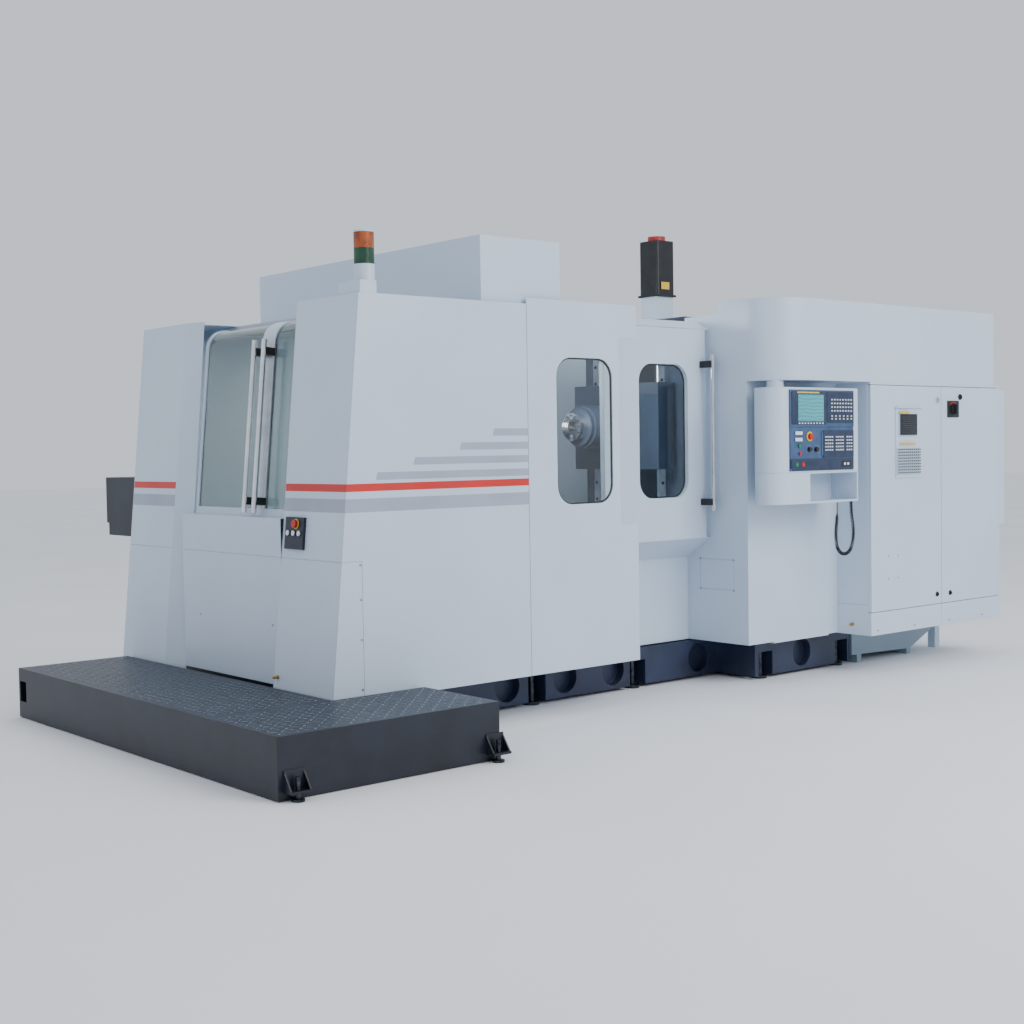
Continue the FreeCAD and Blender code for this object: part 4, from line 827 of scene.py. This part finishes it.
face_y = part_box("control_face")[0].y
face_plastic, tree, shader = material("moulded_face_abs", "#3b5478", 0.5)
place = mottle(tree, shader, ("#374f72", "#415b80"), 12.0)
grain(tree, shader, place, 380.0, 0.0004, edge=0.001)
paint(["control_face"], face_plastic)
dark_face, tree, shader = material("dark_bezel_abs", "#22304a", 0.5)
place = mottle(tree, shader, ("#1e2b43", "#283753"), 20.0)
grain(tree, shader, place, 380.0, 0.0003)
key_plastic, tree, shader = material("silicone_keys", "#cdd3da", 0.55)
place = mottle(tree, shader, ("#c5ccd4", "#d6dbe1"), 60.0)
grain(tree, shader, place, 500.0, 0.0002)
red_plastic, tree, shader = material("red_button_abs", "#b8241f", 0.32)
place = mottle(tree, shader, ("#ad211c", "#c42c26"), 60.0)
grain(tree, shader, place, 500.0, 0.0001)
green_plastic, tree, shader = material("green_button_abs", "#0f7a50", 0.32)
place = mottle(tree, shader, ("#0d7049", "#15865a"), 60.0)
grain(tree, shader, place, 500.0, 0.0001)
yellow_plastic, tree, shader = material("yellow_collar_abs", "#e2be1d", 0.36)
place = mottle(tree, shader, ("#d9b51a", "#e9c727"), 60.0)
grain(tree, shader, place, 500.0, 0.0001)
white_plastic, tree, shader = material("white_lamp_abs", "#e6e8ea", 0.3)
place = mottle(tree, shader, ("#dfe2e5", "#eceef0"), 60.0)
grain(tree, shader, place, 500.0, 0.0001)
paint(["pendant_stop", "power_off_button", "station_stop"], red_plastic)
paint(["start_button", "power_on_button"], green_plastic)
paint(["hold_button"], red_plastic)
paint(["feed_knob", "spindle_knob"], black_plate)
# The call station's plate is painted dark navy.
station_navy, tree, shader = material("station_navy_paint", "#141d30", 0.4)
mottle(tree, shader, ("#121a2c", "#172136"), 30.0)
paint(["station_plate"], station_navy)
paint(["station_button_1", "station_button_2", "station_button_3"], white_plastic)

# the display: lit liquid crystal behind glass, teal with faint bands of soft grey
display, tree, shader = material("lit_display_glass", "#3f8f96", 0.12, 0.0,
                                 Emission_Strength=0.35)
place = add(tree, "ShaderNodeTexCoord")
lines = add(tree, "ShaderNodeTexWave", {"bands_direction": "Z"}, {"Scale": 14.0, "Distortion": 6.0,
            "Detail": 3.0}, {"Vector": place.outputs["Object"]})
tint = add(tree, "ShaderNodeValToRGB", links={"Fac": lines.outputs["Fac"]})
for stop, position, colour in zip(tint.color_ramp.elements, (0.35, 0.75), ("#3d8b95", "#509aa0")):
    stop.position = position
    stop.color = linear(colour)
tree.links.new(tint.outputs["Color"], shader.inputs["Base Color"])
tree.links.new(tint.outputs["Color"], shader.inputs["Emission Color"])


def panel(name, low, high, proud, made, bevel=0.0008):
    """A flat field on the face between two (x, z) corners, standing proud of it."""
    form = Shape().block((low[0], face_y - proud, low[1]), (high[0], face_y + 0.0005, high[1]),
                         bevel)
    place_piece(name, form.finish(name), made, "pendant")


panel("display_bezel", (2.040, 1.678), (2.386, 1.886), 0.003, dark_face)
panel("display_glass", (2.101, 1.698), (2.355, 1.866), 0.0042, display, 0.0004)
panel("display_strip", (2.091, 1.874), (2.311, 1.883), 0.0042, label_yellow, 0.0003)
panel("display_key_field", (2.392, 1.690), (2.664, 1.886), 0.0024, dark_face)
panel("operator_key_field", (2.352, 1.470), (2.666, 1.640), 0.0024, dark_face)
panel("lower_strip", (2.031, 1.392), (2.666, 1.462), 0.0014, dark_face, 0.0005)
panel("strip_oval", (2.540, 1.406), (2.636, 1.444), 0.0026, black_plate, 0.0018)
for name, columns, rows, low, high in (
        ("display_keys_upper", 8, 4, (2.440, 1.765), (2.640, 1.836)),
        ("display_keys_lower", 6, 2, (2.440, 1.714), (2.640, 1.732)),
        ("operator_keys_left", 4, 5, (2.376, 1.516), (2.442, 1.599)),
        ("operator_keys_middle", 4, 5, (2.485, 1.516), (2.551, 1.599)),
        ("operator_keys_right", 3, 5, (2.597, 1.516), (2.641, 1.599)),
        ("soft_keys", 9, 1, (2.112, 1.686), (2.344, 1.686))):
    blocks(name, columns, rows, high[0] - low[0], high[1] - low[1], (0.0145, 0.0016, 0.009),
           ((low[0] + high[0]) / 2, face_y - 0.0031, (low[1] + high[1]) / 2), key_plastic,
           "pendant")
for name, x, z in (("lamp_upper", 2.107, 1.624), ("lamp_lower", 2.106, 1.584)):
    panel(name, (x - 0.034, z - 0.011), (x + 0.034, z + 0.011), 0.004, white_plastic, 0.002)
for index, x in enumerate((2.572, 2.606)):
    panel(f"socket_mark_{index + 1}", (x - 0.010, 1.418), (x + 0.010, 1.434), 0.0032,
          white_plastic, 0.0012)
collar_outline = ((0, 0.031), (0.0012, 0.031), (0.0018, 0.030), (0.0018, 0.0005))
collar = Shape().lathe((2.216, face_y, 1.603), (0, -1, 0), collar_outline, 40)
place_piece("stop_collar", collar.finish("stop_collar"), yellow_plastic, "pendant")
knob_marks = Shape()
mark_count = 11
for centre_x, centre_z in ((2.211, 1.522), (2.280, 1.521)):
    for step in range(mark_count):
        angle = math.radians(-135 + 270 * step / (mark_count - 1)) + math.pi / 2
        knob_marks.lathe((centre_x + 0.0275 * math.cos(angle), face_y - 0.0001,
                          centre_z + 0.0275 * math.sin(angle)), (0, -1, 0),
                         ((0, 0.0013), (0.0004, 0.0013)), 8)
place_piece("knob_marks", knob_marks.finish("knob_marks"), white_plastic, "pendant")
face_screw_z = (1.397, 1.884)
for height in face_screw_z:
    screws(f"face_screws_{int(height * 1000)}", (2.030, face_y - 0.0008, height),
           (0.634, 0, 0), 2, 0.0042, 0.002, FACING_Y, zinc_steel, "pendant")

# ---------------------------------------------------------------- call station
# A navy plate on the leaning end with a red stop on a yellow collar.

station_normal = Vector((-math.cos(math.atan(lean)), 0, math.sin(math.atan(lean))))
station_stop = Vector((end_x(1.173) - 0.0015, -0.771, 1.173))
station_face = sorted(v.co.dot(station_normal) for v in nodes["station_plate"].data.vertices)[-1]
lift = station_face - station_stop.dot(station_normal)
ring = Shape().lathe(station_stop + station_normal * lift, station_normal,
                     ((0, 0.027), (0.001, 0.027), (0.0015, 0.026), (0.0015, 0.0005)), 36)
place_piece("station_collar", ring.finish("station_collar"), yellow_plastic, "root")

# ---------------------------------------------------------------- curly cord
# A coiled rubber lead to the handwheel: black cable wound into close springy turns, which
# hangs in a deep loop under the pendant and goes back into it.

cord_rubber, tree, shader = material("coiled_cord_rubber", "#141518", 0.5)
place = mottle(tree, shader, ("#111215", "#1c1d21"), 80.0)
grain(tree, shader, place, 500.0, 0.0001)
cord_y = -1.600
cord_route = [(2.548, 1.180), (2.548, 1.078), (2.528, 0.968), (2.540, 0.880), (2.600, 0.832),
              (2.676, 0.846), (2.716, 0.912), (2.718, 1.008), (2.694, 1.100), (2.694, 1.180)]
route_data = bpy.data.curves.new("cord_route", "CURVE")
route_data.dimensions = "3D"
route_data.resolution_u = 24
spline = route_data.splines.new("NURBS")
spline.points.add(len(cord_route) - 1)
for point, (x, z) in zip(spline.points, cord_route):
    point.co = (x, cord_y, z, 1.0)
spline.order_u = 3
spline.use_endpoint_u = True
route_object = bpy.data.objects.new("cord_route", route_data)
bpy.context.collection.objects.link(route_object)
route_mesh = bpy.data.meshes.new_from_object(
    route_object.evaluated_get(bpy.context.evaluated_depsgraph_get()))
spine = [vert.co.copy() for vert in route_mesh.vertices]
bpy.data.objects.remove(route_object)

cord_thick = 0.0062
cord_sides = 8
coil_radius = 0.0088
coil_pitch = 0.0100
turn_points = 16
straight_lead = 0.070
coil_opens = 0.030
spine_lengths = [0.0]
for before, after in zip(spine, spine[1:]):
    spine_lengths.append(spine_lengths[-1] + (after - before).length)


def along_spine(distance):
    """The place and direction a distance along the cord's line."""
    for index in range(1, len(spine)):
        if distance <= spine_lengths[index] or index == len(spine) - 1:
            span = spine_lengths[index] - spine_lengths[index - 1]
            share = (distance - spine_lengths[index - 1]) / span
            return (spine[index - 1].lerp(spine[index], share),
                    (spine[index] - spine[index - 1]).normalized())


total = spine_lengths[-1]
samples = int(total / coil_pitch * turn_points)
helix = []
for sample in range(samples + 1):
    distance = total * sample / samples
    centre, forward = along_spine(distance)
    across = Vector((0, 1, 0))
    other = forward.cross(across).normalized()
    angle = 2 * math.pi * sample / turn_points
    opening = min(1.0, max(0.0, (distance - straight_lead) / coil_opens))
    radius = coil_radius * opening
    helix.append(centre + (across * math.cos(angle) + other * math.sin(angle)) * radius)


def tube(name, path, radius, sides):
    """A round tube along a path, with closed ends."""
    form = bmesh.new()
    rings = []
    side = Vector((0, 1, 0))
    for index, point in enumerate(path):
        ahead = path[min(index + 1, len(path) - 1)]
        behind = path[max(index - 1, 0)]
        forward = (ahead - behind).normalized()
        side = (side - forward * side.dot(forward)).normalized()
        other = forward.cross(side)
        rings.append([form.verts.new(point + (side * math.cos(2 * math.pi * k / sides)
                                              + other * math.sin(2 * math.pi * k / sides))
                                     * radius) for k in range(sides)])
    for this, after in zip(rings, rings[1:]):
        for k in range(sides):
            form.faces.new((this[k], this[(k + 1) % sides], after[(k + 1) % sides], after[k]))
    form.faces.new(rings[0][::-1])
    form.faces.new(rings[-1])
    bmesh.ops.recalc_face_normals(form, faces=form.faces[:])
    mesh = bpy.data.meshes.new(name)
    form.to_mesh(mesh)
    form.free()
    mesh.shade_smooth()
    return mesh


curly_cord = place_piece("curly_cord", tube("curly_cord", helix, cord_thick / 2, cord_sides),
                         cord_rubber, "pendant")
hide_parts("handwheel_cord")
